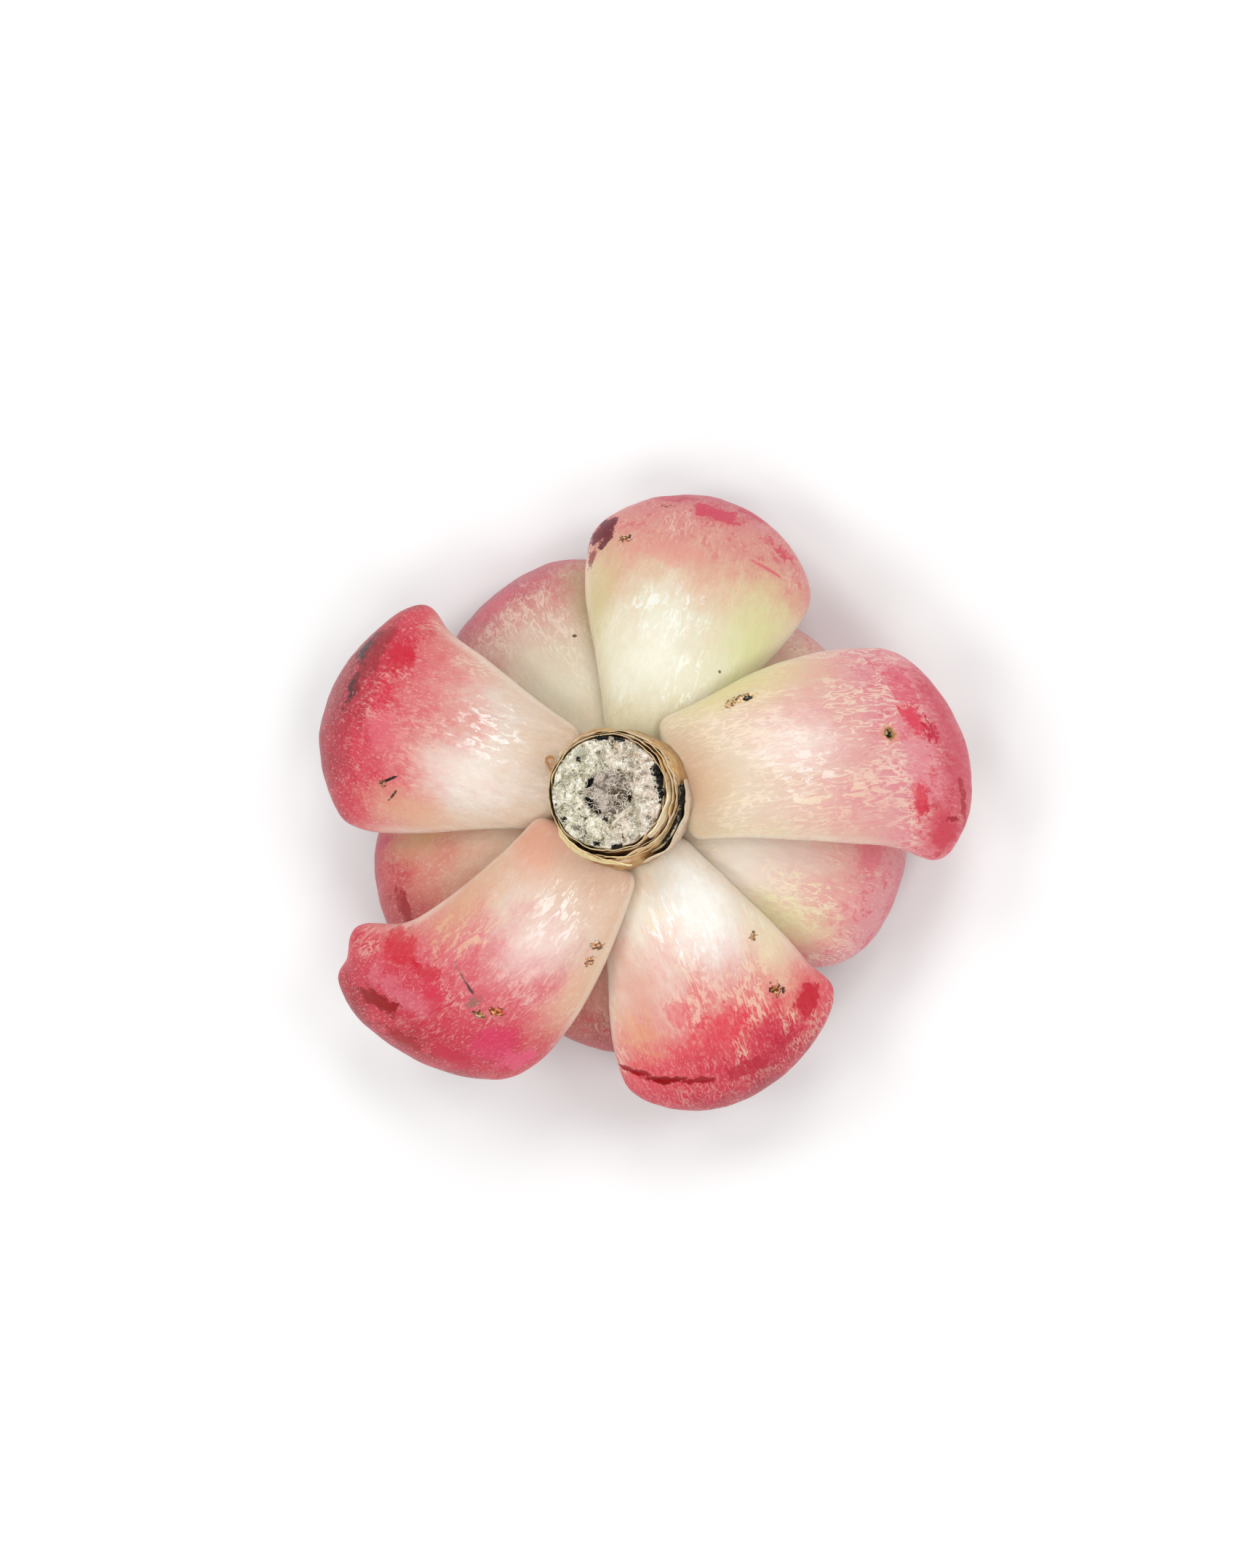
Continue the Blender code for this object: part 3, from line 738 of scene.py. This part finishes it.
def make_bud():
    """The closed growing tip under the youngest leaves."""
    piece, _ = ball("bud_tip", 20, 14)
    leaf = Leaf(0, 2 * BUD_HALF_LENGTH, 2 * BUD_RADIUS, 0, 0, back=BUD_RADIUS, tones=YOUNG_TONES,
                number=6 * WHORL)
    piece.scale = (BUD_RADIUS, BUD_RADIUS, BUD_HALF_LENGTH)
    bpy.ops.object.transform_apply(location=False, rotation=False, scale=True)
    places = points_of(piece)
    store(piece, "grown", places)
    size = np.array((BUD_RADIUS, BUD_RADIUS, -2 * BUD_HALF_LENGTH)) * MM
    store(piece, "share", places / size + (0, 0, 0.5))
    apply_modifier(piece, "SUBSURF", levels=1, render_levels=1)
    piece.data.materials.append(leaf_skin("bud skin", leaf))
    piece.location = CUT_CENTRE - Vector((0, 0, BUD_DEPTH * MM))
    settle(piece, "bud")


def make_leaves():
    leaves = {**OUTER_AND_SECOND, **young_leaves()}
    for number, (node, leaf) in enumerate(leaves.items()):
        leaf.number = number
        make_leaf(node, leaf)


# Stem ------------------------------------------------------------------------------------------

PITH_RADIUS = 1.85
MOULD = "15130F"
CUT_MARKS = (
    Spot(4.35, 1.6, 0.42, 1.5, MOULD, 1.0, 0.6, -0.25, 12),
    Spot(4.5, -0.2, 0.25, 0.9, MOULD, 1.0, 0.6, -0.2), Spot(-0.4, 4.55, 0.7, 0.25, MOULD, 1.0, 0.5, -0.2),
    Spot(1.0, 4.35, 0.45, 0.2, MOULD, 0.95, 0.5, -0.15),
    Spot(-2.4, 2.85, 0.22, 0.2, MOULD, 1.0, 0.6, -0.2), Spot(-2.1, 3.3, 0.7, 0.4, "8E8A78", 0.6),
    Spot(-1.5, 0.85, 0.26, 0.7, MOULD, 1.0, 0.4, -0.4, -30),
    Spot(-1.55, -0.8, 0.32, 0.7, MOULD, 1.0, 0.4, -0.5, 25),
    Spot(-0.85, -1.5, 0.35, 0.2, "1E1812", 1.0, 0.5, -0.3, -35),
    Spot(-0.15, -2.2, 0.3, 0.2, "1E1812", 0.95, 0.5, -0.2),
    Spot(1.85, -0.4, 0.2, 0.6, "16110C", 1.0, 0.5, -0.3),
    Spot(1.1, -0.1, 0.9, 0.8, "4A3A26", 0.85, 0.9, -0.15),
    Spot(0.9, -0.9, 0.4, 0.3, "3E3226", 0.7, 0.9, -0.1),
    Spot(0.9, 1.85, 0.3, 0.12, "3A2E26", 0.8, 0.6, -0.1),
    Spot(-2.25, 0.0, 0.25, 0.2, "5E5A4C", 0.8, 0.6, -0.1),
    Spot(-2.3, -1.35, 0.2, 0.14, "2E2A22", 0.9, 0.6, -0.1), Spot(-4.3, -1.0, 0.15, 0.15, MOULD, 0.9),
    Spot(-3.7, -2.2, 0.22, 0.25, MOULD, 1.0, 0.6, -0.15),
    Spot(-2.6, -2.9, 0.5, 0.3, "6A6656", 0.8, 0.7, -0.1),
    Spot(-1.9, -3.6, 0.2, 0.13, MOULD, 0.95, 0.6, -0.1),
    Spot(-0.9, -4.2, 0.35, 0.15, MOULD, 0.95, 0.5, -0.15),
    Spot(0.8, -4.45, 0.5, 0.2, MOULD, 1.0, 0.5, -0.2), Spot(3.4, -2.1, 0.25, 0.2, "5A5448", 0.8, 0.7),
    Spot(2.0, 2.3, 0.4, 0.3, "8A7C70", 0.7, 0.8), Spot(3.0, 1.6, 0.35, 0.25, "84766A", 0.7, 0.8),
    Spot(-3.0, 1.4, 0.5, 0.3, "9A9A80", 0.7, 0.8),
    Spot(0.6, 3.9, 0.09, 0.4, "C89A50", 0.9, 0.3, 0.05, 10),
    Spot(2.5, 3.1, 0.08, 0.35, "CDA45C", 0.8, 0.3, 0.05, 5),
)


def cut_and_sides():
    """Radius and depth of the stem's rings, from the middle of the cut face to its buried end."""
    face = [(0.12 + 0.115 * step, 0.0) for step in range(38)]
    rim = [(STEM_RADIUS - inset, depth)
           for inset, depth in ((0.32, 0.03), (0.18, 0.1), (0.07, 0.2), (0.0, 0.36))]
    side = [(STEM_RADIUS, depth) for depth in (0.6, 0.9, 1.3, 1.8, 2.4, 3.0, 3.6)]
    neck = [(NECK_RADIUS, depth) for depth in (NECK_DEPTH, 6.5, 8.0, TAPER_DEPTH)]
    taper = [(stem_radius(depth), depth) for depth in (13.0, 16.0, 19.0, STEM_LENGTH - 0.2)]
    return face + rim + side + neck + taper + [(0.4, STEM_LENGTH)]


def make_stem():
    profile = cut_and_sides()
    piece, rows = ball("stem_core", 128, len(profile) + 1)
    rows.reverse()
    cage = open_cage(piece)
    last = []
    for row, (radius, depth) in zip(rows, [(0, 0), *profile, (0, STEM_LENGTH)]):
        height = cage.verts[row[0]].co.z
        last = pick(piece, cage, row, last)
        if radius:
            grow = radius * MM / cage.verts[row[0]].co.xy.length
            bpy.ops.transform.resize(value=(grow, grow, 1), center_override=(0, 0, height))
        bpy.ops.transform.translate(value=(0, 0, -depth * MM - height))
    close_cage()
    apply_modifier(piece, "SUBSURF", levels=1, render_levels=1)

    points = points_of(piece) / MM
    places = points[:, [0, 2, 1]]
    store(piece, "grown", places * MM)
    radius = np.hypot(points[:, 0], points[:, 1])
    on_face = np.clip((STEM_RADIUS - 0.05 - radius) / 0.3, 0, 1) * (points[:, 2] > -0.4)
    wool = 0.12 * grain(points, (0.7, 0.7, 0.7), 3) + 0.16 * np.abs(grain(points, (0.32, 0.32, 0.4), 7))
    wool += 0.09 * grain(points, (0.16, 0.16, 0.2), 11)
    bowl = -0.22 + 0.10 * (radius / STEM_RADIUS) ** 2
    edge = PITH_RADIUS * (1 + 0.06 * grain(points, (1.2, 1.2, 1.2), 5))
    bowl -= 0.12 * (radius < edge) + 0.25 * np.exp(-((radius - edge) / 0.11) ** 2)
    bowl += 0.1 * np.exp(-((radius - 2.5) / 0.35) ** 2)
    points[:, 2] += on_face * (bowl + wool + spot_rise(places, CUT_MARKS, 17))
    cork = 0.12 * grain(points, (0.8, 0.8, 5.0), 21) + 0.05 * grain(points, (0.3, 0.3, 1.2), 23)
    points[:, :2] *= (1 + np.minimum((1 - on_face) * cork, 0.02) / STEM_RADIUS)[:, None]
    points[:, 2] = np.minimum(points[:, 2], 0.0)
    set_points(piece, points * MM)
    piece.data.materials.append(cut_face())
    piece.location = CUT_CENTRE
    settle(piece, "stem")


def cut_face():
    """Cut stem end that has healed: woolly grey callus with black mould, round a darker pith.

    Dry and matt all over: felted curls 0.3 to 0.9 mm wide, painted paler on their tops as light and
    dark olive in the hollows between them, partly the callus's own olive and partly painted shade.
    The specks of mould are finer than can show and are drawn 0.17 mm wide. The sides are brown cork.
    """
    material, tree = new_material("healed stem cut")
    places = add_node(tree, "Attribute", attribute_name="grown").outputs["Vector"]
    split = add_node(tree, "SeparateXYZ", places)
    flat = add_node(tree, "CombineXYZ", X=split.outputs["X"], Z=split.outputs["Z"])
    lumps = pattern(tree, places, (0.85, 0.85, 0.85), 6.0, 0.64, twist=0.6)
    specks = pattern(tree, places, (0.17, 0.17, 0.17), 4.0, 0.6, (3, 0, 5))
    patches = pattern(tree, places, (1.6, 1.6, 1.6), 2.0, 0.5, (7, 0, 2))

    wool = add_node(tree, "MapRange", split.outputs["X"], -3.0 * MM, 3.5 * MM)
    wool = add_node(tree, "Mix", wool, "DEDABC", "DCC4B2")
    # The lump noise also raises the bump: near-white on its tops is painted light, and dark olive in its
    # hollows is partly the callus's own colour and partly painted shade.
    shades = ((lumps, 0.5, 0.62, 0.9, "FBF8EA"), (lumps, 0.5, 0.43, 0.85, "857B60"),
              (lumps, 0.42, 0.36, 1.0, "38331F"), (specks, 0.38, 0.28, 0.8, "5A5340"),
              (patches, 0.5, 0.66, 0.6, "A09C7C"))
    for measure, low, high, strength, code in shades:
        mask = add_node(tree, "MapRange", measure, low, high, 0.0, strength)
        wool = add_node(tree, "Mix", mask, wool, code)
    for lump, width, shift, strength, code in ((0.6, 0.035, (1, 0, 4), 0.8, "FBF8F0"),
                                               (0.35, 0.03, (5, 0, 9), 0.5, "7E7466")):
        curls = threads(tree, places, (lump, lump, lump), width, shift)
        curls = add_node(tree, "Math", curls, strength, operation="MULTIPLY")
        wool = add_node(tree, "Mix", curls, wool, code)

    pith = add_node(tree, "MapRange", lumps, 0.38, 0.6)
    pith = add_node(tree, "Mix", pith, "6E6056", "C9BBB0")
    mask = add_node(tree, "MapRange", specks, 0.45, 0.3, 0.0, 0.9)
    pith = add_node(tree, "Mix", mask, pith, "3A3028")
    away = add_node(tree, "VectorMath", flat, operation="LENGTH")
    wander = add_node(tree, "Math", lumps, 0.5, operation="SUBTRACT")
    away = add_node(tree, "Math", wander, 0.7 * MM, away, operation="MULTIPLY_ADD")
    inside = add_node(tree, "MapRange", away, 2.0 * MM, 1.7 * MM)
    skin = add_node(tree, "Mix", inside, wool, pith)
    skin, roughness = lay_spots(tree, flat, CUT_MARKS, skin, 0.85, specks, specks)

    cork = add_node(tree, "MapRange", lumps, 0.35, 0.65)
    cork = add_node(tree, "Mix", cork, "6E4A2C", "B58A56")
    deep = add_node(tree, "MapRange", split.outputs["Y"], -0.7 * MM, -1.0 * MM)
    skin = add_node(tree, "Mix", deep, skin, cork)
    relief = add_node(tree, "Math", lumps, specks, operation="ADD")
    bump = add_node(tree, "Bump", Height=relief, Strength=0.6, Distance=0.12 * MM)
    shader = add_node(tree, "BsdfPrincipled", Base_Color=skin, Roughness=roughness, Normal=bump, IOR=1.4,
                      Specular_IOR_Level=0.25)
    add_node(tree, "OutputMaterial", shader)
    return material


def matt_material(name, first, second, lump, roughness=0.85):
    """A dry matt stuff, such as felted fibres or crumbs, whose colour wanders between two."""
    material, tree = new_material(name)
    places = add_node(tree, "TexCoord").outputs["Object"]
    skin = add_node(tree, "MapRange", pattern(tree, places, lump), 0.35, 0.65)
    skin = add_node(tree, "Mix", skin, first, second)
    shader = add_node(tree, "BsdfPrincipled", Base_Color=skin, Roughness=roughness, Specular_IOR_Level=0.3)
    add_node(tree, "OutputMaterial", shader)
    return material


def scatter(name, template, places, material):
    """Copies of one small shape, each with its own mesh, joined into one piece."""
    shape = points_of(template)
    copies = []
    for place in places:
        copy = template.copy()
        copy.data = template.data.copy()
        bpy.context.scene.collection.objects.link(copy)
        set_points(copy, place(shape))
        copies.append(copy)
    bpy.data.objects.remove(template)
    deselect_all()
    for copy in copies:
        copy.select_set(True)
    bpy.context.view_layer.objects.active = copies[0]
    bpy.ops.object.join()
    copies[0].name = name
    copies[0].data.materials.append(material)
    settle(copies[0])


WOOL_FIBRES = 440


def make_wool():
    """Fine curled fibres that stand on the cut face."""
    chance = random.Random(41)
    template, _ = ball("fibre", 4, 8)

    def fibre():
        radius, angle = 4.4 * math.sqrt(chance.random()), chance.uniform(0, 2 * math.pi)
        length, thick = chance.uniform(0.35, 1.1), chance.uniform(0.02, 0.042)
        curl, turn = chance.uniform(1.0, 4.5), chance.uniform(0, 2 * math.pi)
        tilt = chance.uniform(-0.15, 0.4)
        middle = np.array(CUT_CENTRE) / MM + (radius * math.cos(angle), radius * math.sin(angle),
                                              -0.06 if radius > PITH_RADIUS else -0.22)

        def place(shape):
            along = shape[:, 2] / MM / 2
            bend = along * curl
            spine_x, spine_y = length / curl * np.sin(bend), length / curl * (1 - np.cos(bend))
            x = spine_x - shape[:, 0] / MM * thick * np.sin(bend)
            y = spine_y + shape[:, 0] / MM * thick * np.cos(bend)
            z = shape[:, 1] / MM * thick + tilt * length * np.abs(along) * 0.4
            turned = (x * math.cos(turn) - y * math.sin(turn), x * math.sin(turn) + y * math.cos(turn), z)
            return (np.stack(turned, axis=1) + middle) * MM
        return place

    # Dry plant fibre: cream to fawn in stretches of half a millimetre, and without any shine.
    pale = matt_material("callus wool", "EFE9D8", "C6B8A4", (0.5, 0.5, 0.5))
    scatter("stem_wool", template, [fibre() for _ in range(WOOL_FIBRES)], pale)


def make_mould():
    """Black crumbs of mould at the rim of the cut and in the gap behind the outer bark."""
    chance = random.Random(17)
    deselect_all()
    bpy.ops.mesh.primitive_ico_sphere_add(subdivisions=1, radius=MM)
    template = bpy.context.object
    zones = ((4.45, 12, 0.16, 17, 0.0, 80), (4.6, 97, 0.1, 7, 0.0, 26), (4.55, 77, 0.08, 5, 0.0, 12),
             (4.6, -80, 0.08, 6, 0.05, 16), (4.4, -102, 0.08, 4, 0.0, 8), (6.12, -3, 0.08, 9, 1.15, 80),
             (6.13, -28, 0.05, 15, 1.2, 60), (3.7, 131, 0.12, 2, 0.0, 8), (4.3, 211, 0.12, 2, 0.0, 8))

    def crumb(zone):
        radius, angle, spread, sweep, depth, _ = zone
        radius += chance.gauss(0, spread)
        angle = math.radians(angle + chance.uniform(-sweep, sweep))
        size = np.array([chance.uniform(0.05, 0.13) for _ in range(3)])
        middle = np.array(CUT_CENTRE) / MM + (radius * math.cos(angle), radius * math.sin(angle),
                                              -depth - chance.uniform(0, 0.12))
        return lambda shape: (shape / MM * size + middle) * MM

    # Sooty mould: almost black and quite dull, so that each crumb reads as a hole. The real crumbs
    # are finer than can show, so they are drawn 0.1 to 0.25 mm wide.
    black = matt_material("black mould", "0E0D0B", "2C2A25", (0.3, 0.3, 0.3), roughness=0.95)
    places = [crumb(zone) for zone in zones for _ in range(zone[5])]
    scatter("stem_mould", template, places, black)


# Bark ------------------------------------------------------------------------------------------

@dataclass
class Sheet:
    """A loose sheet of bark: part of a cup round the stem. Angles are in degrees."""
    name: str
    radius: float
    start: float
    end: float
    top: float
    bottom: float
    stand_off: float       # how far it stands away on the loose side
    light: str
    dark: str
    torn: float = 0.3      # how deep its top edge is torn
    flare: float = 0.25    # how far its foot spreads
    thick: float = 0.07
    seed: float = 0.0
    node: str = ""
    pointed: bool = False  # its far end runs out to a point
    lift: float = 0.0      # how far that point stands away
    taper: float = 0.08    # share of its length over which its ends grow narrow


LOOSE_SIDE = -30.0
SHEETS = (
    Sheet("rind", 4.82, -165, 190, 0.0, 6.0, 0.0, "E8CC9C", "A87448", 0.25, 0.2, 0.1, seed=1),
    Sheet("inner_sheet", 5.02, -100, 235, 0.05, 5.7, 0.05, "EFD8A8", "BE8C54", 0.4, 0.5, seed=2,
          node="bark_inner"),
    Sheet("ivory_strip", 4.92, -48, 20, -0.1, 1.6, 0.08, "FBF6E0", "EEDFB4", 0.3, 0.5, 0.12, seed=3,
          taper=0.5),
    Sheet("gold_strip", 5.0, -8, 40, -0.05, 1.8, 0.06, "F0CC7C", "C8923E", 0.3, 0.6, 0.1, seed=13,
          taper=0.4),
    Sheet("red_sheet", 5.16, -70, 44, 0.25, 5.4, 0.2, "CC907A", "96503E", 0.5, 0.7, seed=4),
    Sheet("middle_sheet", 5.22, -130, 60, 0.15, 5.6, 0.3, "EAC88C", "BE8648", 0.8, 0.8, 0.09, seed=5,
          node="bark_middle"),
    Sheet("straw_sheet", 5.22, -140, 85, 0.55, 5.7, 0.36, "F4E0B0", "CEA060", 0.9, 0.6, seed=6),
    Sheet("tan_sheet", 5.24, -120, 50, 0.6, 5.3, 0.5, "E4B478", "AC7040", 1.0, 0.55, 0.09, seed=7),
    Sheet("outer_sheet", 5.28, -150, 110, 0.8, 5.8, 0.52, "F4E4C8", "D4AC80", 0.8, 0.25, seed=8,
          node="bark_outer"),
    Sheet("mouldy_sheet", 5.42, -56, 8, 1.15, 5.0, 0.7, "6E6656", "14120E", 0.3, 0.0, 0.2, seed=12,
          taper=0.4),
    Sheet("pale_shell", 5.52, -66, 12, 1.3, 5.6, 0.98, "F4E4D0", "DCBC98", 0.6, 0.0, seed=9),
    Sheet("top_scrap", 5.1, 84, 143, 0.0, 1.4, 0.0, "E4C284", "A8703E", 0.4, 0.4, seed=10,
          pointed=True, lift=0.12),
    Sheet("foot_shred", 5.1, 212, 288, 0.4, 2.1, 0.0, "F6E6B0", "DABC7C", 0.2, 0.55, 0.1, seed=11,
          pointed=True, lift=1.1),
)


def bark_paper(name, light, dark, seed):
    """Dead bark: dry papery layers, streaked round the stem, almost without gloss.

    Straw to red-brown in bands about 0.4 mm high, paler along the torn edge and browner towards
    the foot. Its fibres are finer than can show and are drawn 0.25 mm wide and 1.6 mm long.
    """
    material, tree = new_material(name)
    grown = add_node(tree, "Attribute", attribute_name="grown").outputs["Vector"]
    share = add_node(tree, "Attribute", attribute_name="share").outputs["Vector"]
    bands = pattern(tree, grown, (3.0, 0.5, 0.35), 4.0, 0.6, (seed, 0, seed * 2))
    fibres = pattern(tree, grown, (0.25, 0.3, 1.6), 3.0, 0.6, (seed * 3, 0, 0))
    upper = add_node(tree, "SeparateXYZ", share).outputs["Z"]
    torn_edge = add_node(tree, "Math", bands, 0.5, operation="SUBTRACT")
    torn_edge = add_node(tree, "Math", torn_edge, 0.2, upper, operation="MULTIPLY_ADD")
    depth = add_node(tree, "SeparateXYZ", grown).outputs["Z"]
    skin = add_node(tree, "MapRange", bands, 0.36, 0.62)
    skin = add_node(tree, "Mix", skin, dark, light)
    shades = ((fibres, 0.45, 0.3, 0.5, "6A4028"), (fibres, 0.56, 0.72, 0.5, "F2E4C0"),
              (torn_edge, 0.9, 0.98, 0.45, "F4E0B4"), (depth, -2.6 * MM, -5.4 * MM, 0.55, "94663E"))
    for measure, low, high, strength, code in shades:
        mask = add_node(tree, "MapRange", measure, low, high, 0.0, strength)
        skin = add_node(tree, "Mix", mask, skin, code)
    bump = add_node(tree, "Bump", Height=fibres, Strength=0.5, Distance=0.05 * MM)
    shader = add_node(tree, "BsdfPrincipled", Base_Color=skin, Roughness=0.62, Normal=bump, IOR=1.45)
    add_node(tree, "OutputMaterial", shader)
    return material


def make_sheet(sheet):
    arc = math.radians(sheet.end - sheet.start)
    steps = max(12, round(arc * sheet.radius / 0.16))
    deselect_all()
    bpy.ops.mesh.primitive_grid_add(x_subdivisions=steps, y_subdivisions=14, size=2)
    piece = bpy.context.object
    piece.name = sheet.name
    flat = points_of(piece)
    round_share, up_share = (flat[:, 0] + 1) / 2, (flat[:, 1] + 1) / 2
    angle = math.radians(sheet.start) + arc * round_share
    run = arc * sheet.radius * round_share
    edge = np.stack((run, 0 * run, 0 * run), axis=1)
    tear = grain(edge, (1.6, 1, 1), sheet.seed * 5)
    tear += 0.5 * np.abs(grain(edge, (0.45, 1, 1), sheet.seed * 7))
    top = sheet.top + sheet.torn * (0.5 + tear + 0.6 * np.sin(angle * 1.5 + sheet.seed * 2.1))
    ends = np.minimum(1, np.minimum(round_share, 1 - round_share) / sheet.taper)
    bottom = sheet.bottom + 0.5 * grain(edge, (1.1, 1, 1), sheet.seed * 9)
    if sheet.pointed:
        ends = np.minimum(1, round_share / 0.1) * np.minimum(1, 1.8 * (1 - round_share))
    middle = (top + bottom) / 2
    reach = np.clip(ends, 0.03, 1) if sheet.pointed else 0.2 + 0.8 * np.sqrt(np.clip(ends, 0, 1))
    top, bottom = middle + (top - middle) * reach, middle + (bottom - middle) * reach
    depth = bottom + (top - bottom) * up_share

    loose = np.maximum(0, np.cos(angle - math.radians(LOOSE_SIDE)))
    radius = sheet.radius + sheet.stand_off * loose + sheet.flare * reach * (1 - up_share) ** 1.5
    crinkle = np.stack((run, depth, 0 * run), axis=1)
    radius += (0.1 + 0.2 * loose) * grain(crinkle, (1.6, 4.0, 1), sheet.seed * 3)
    radius += 0.22 * loose * grain(crinkle, (3.5, 8.0, 1), sheet.seed * 13)
    radius += 0.08 * grain(crinkle, (0.5, 1.5, 1), sheet.seed * 11)
    radius += sheet.lift * round_share ** 3
    store(piece, "grown", np.stack((run, 0 * run, -depth), axis=1) * MM)
    store(piece, "share", np.stack((round_share, 0 * run, up_share), axis=1))
    set_points(piece, np.stack((radius * np.cos(angle), radius * np.sin(angle), -depth), axis=1) * MM)
    apply_modifier(piece, "SOLIDIFY", thickness=sheet.thick * MM, offset=0.0)
    apply_modifier(piece, "SUBSURF", levels=1, render_levels=1)
    piece.data.materials.append(bark_paper(sheet.name, sheet.light, sheet.dark, sheet.seed))
    piece.location = CUT_CENTRE
    settle(piece, sheet.node or None)


FLAKE_LENGTH = 3.2
FLAKE_HALF_WIDTH = 0.17
FLAKE_STEPS = 48
FLAKE_HEADING = 118.0      # degrees, at its fixed end
FLAKE_TURN_BACK = 5.2      # radians, over its loose half
FLAKE_PLACE = (-5.3, 1.6, -5.55)


def make_flake():
    """A curled scrap of bark on the leaf to the left: a thin strip whose end turns back on itself."""
    deselect_all()
    bpy.ops.mesh.primitive_grid_add(x_subdivisions=FLAKE_STEPS, y_subdivisions=6, size=2)
    piece = bpy.context.object
    piece.name = "loose_scrap"
    flat = points_of(piece)
    along, across = (flat[:, 0] + 1) / 2, flat[:, 1]
    steps = np.arange(FLAKE_STEPS + 1) / FLAKE_STEPS
    heading = math.radians(FLAKE_HEADING) - np.maximum(0, (steps - 0.45) / 0.55 * FLAKE_TURN_BACK)
    stride = FLAKE_LENGTH / FLAKE_STEPS
    spine_x = np.append(0, np.cumsum(stride * np.cos(heading[:-1])))
    spine_y = np.append(0, np.cumsum(stride * np.sin(heading[:-1])))
    step = np.rint(along * FLAKE_STEPS).astype(int)
    wide = FLAKE_HALF_WIDTH * (0.4 + 0.6 * np.sin(np.pi * np.clip(along, 0.02, 0.98)))
    points = np.stack((spine_x[step] - across * wide * np.sin(heading[step]),
                       spine_y[step] + across * wide * np.cos(heading[step]),
                       0.12 * np.sin(along * 5) + 0.1 * across ** 2), axis=1)
    store(piece, "grown", np.stack((along * FLAKE_LENGTH, 0 * along, across * wide), axis=1) * MM)
    store(piece, "share", np.stack((along, 0 * along, (across + 1) / 2), axis=1))
    set_points(piece, (points + FLAKE_PLACE) * MM)
    apply_modifier(piece, "SOLIDIFY", thickness=0.06 * MM, offset=0.0)
    apply_modifier(piece, "SUBSURF", levels=1, render_levels=1)
    piece.data.materials.append(bark_paper("loose scrap", "E0B888", "B07A4A", 4))
    piece.location = CUT_CENTRE
    settle(piece, "bark_flake")


# Stage -----------------------------------------------------------------------------------------

VIEW_TILT = 9.0            # the camera stands this far from straight above
VIEW_SIDE = -23.0          # direction in which it stands off
VIEW_DISTANCE = 300.0
VIEW_DEPTH = 6.0           # it looks at a point this far below the cut face
VIEW_HEIGHT = 132.7        # height of the picture at that point
VIEW_OFFSET = (0.83, 1.05)
LAMPS = 6                  # a ring of lamps round the camera
LAMP_REACH = 0.33          # metres, like the next two
LAMP_HEIGHT = 0.50
LAMP_SIZE = 0.2
LAMP_WATTS = 0.51
LAMP_TURN = 15.0
DAYLIGHT = 0.42


def make_camera():
    tilt = math.radians(VIEW_TILT)
    side = math.radians(VIEW_SIDE)
    back = Vector((math.sin(tilt) * math.cos(side), math.sin(tilt) * math.sin(side), math.cos(tilt)))
    up = Vector((0, 1, 0))
    up = (up - back * up.dot(back)).normalized()
    right = up.cross(back)
    aim = CUT_CENTRE - Vector((0, 0, VIEW_DEPTH * MM))
    data = bpy.data.cameras.new("camera")
    data.sensor_width = 36
    data.lens = 36 * VIEW_DISTANCE / VIEW_HEIGHT
    data.clip_start = 0.01
    camera = bpy.data.objects.new("camera", data)
    place = Matrix((right, up, back)).transposed().to_4x4()
    place.translation = aim + (back * VIEW_DISTANCE + right * VIEW_OFFSET[0] + up * VIEW_OFFSET[1]) * MM
    camera.matrix_world = place
    bpy.context.scene.collection.objects.link(camera)
    bpy.context.scene.camera = camera


def soft_light(name, place, aim):
    data = bpy.data.lights.new(name, "AREA")
    data.shape = "DISK"
    data.size = LAMP_SIZE
    data.energy = LAMP_WATTS
    light = bpy.data.objects.new(name, data)
    light.location = place
    light.rotation_euler = (Vector(aim) - Vector(place)).to_track_quat("-Z", "Y").to_euler()
    bpy.context.scene.collection.objects.link(light)


def make_stage():
    deselect_all()
    bpy.ops.mesh.primitive_plane_add(size=4.0)
    floor = bpy.context.object
    floor.name = "floor"
    # White paper sweep: plain and dull, so that it only catches a soft shadow.
    material, tree = new_material("white paper sweep")
    shader = add_node(tree, "BsdfPrincipled", Base_Color="FAFAFA", Roughness=0.9)
    add_node(tree, "OutputMaterial", shader)
    floor.data.materials.append(material)
    world = bpy.data.worlds.new("studio")
    world.use_nodes = True
    world.node_tree.nodes["Background"].inputs["Color"].default_value = (1.0, 1.0, 1.0, 1.0)
    world.node_tree.nodes["Background"].inputs["Strength"].default_value = DAYLIGHT
    bpy.context.scene.world = world
    for lamp in range(LAMPS):
        side = math.radians(LAMP_TURN + 360 * lamp / LAMPS)
        place = (LAMP_REACH * math.cos(side), LAMP_REACH * math.sin(side), LAMP_HEIGHT)
        soft_light(f"lamp_{lamp + 1}", place, (0, 0, 0.02))
    bpy.context.scene.view_settings.view_transform = "Standard"


make_leaves()
make_bud()
make_stem()
make_wool()
make_mould()
for sheet in SHEETS:
    make_sheet(sheet)
make_flake()
make_camera()
make_stage()
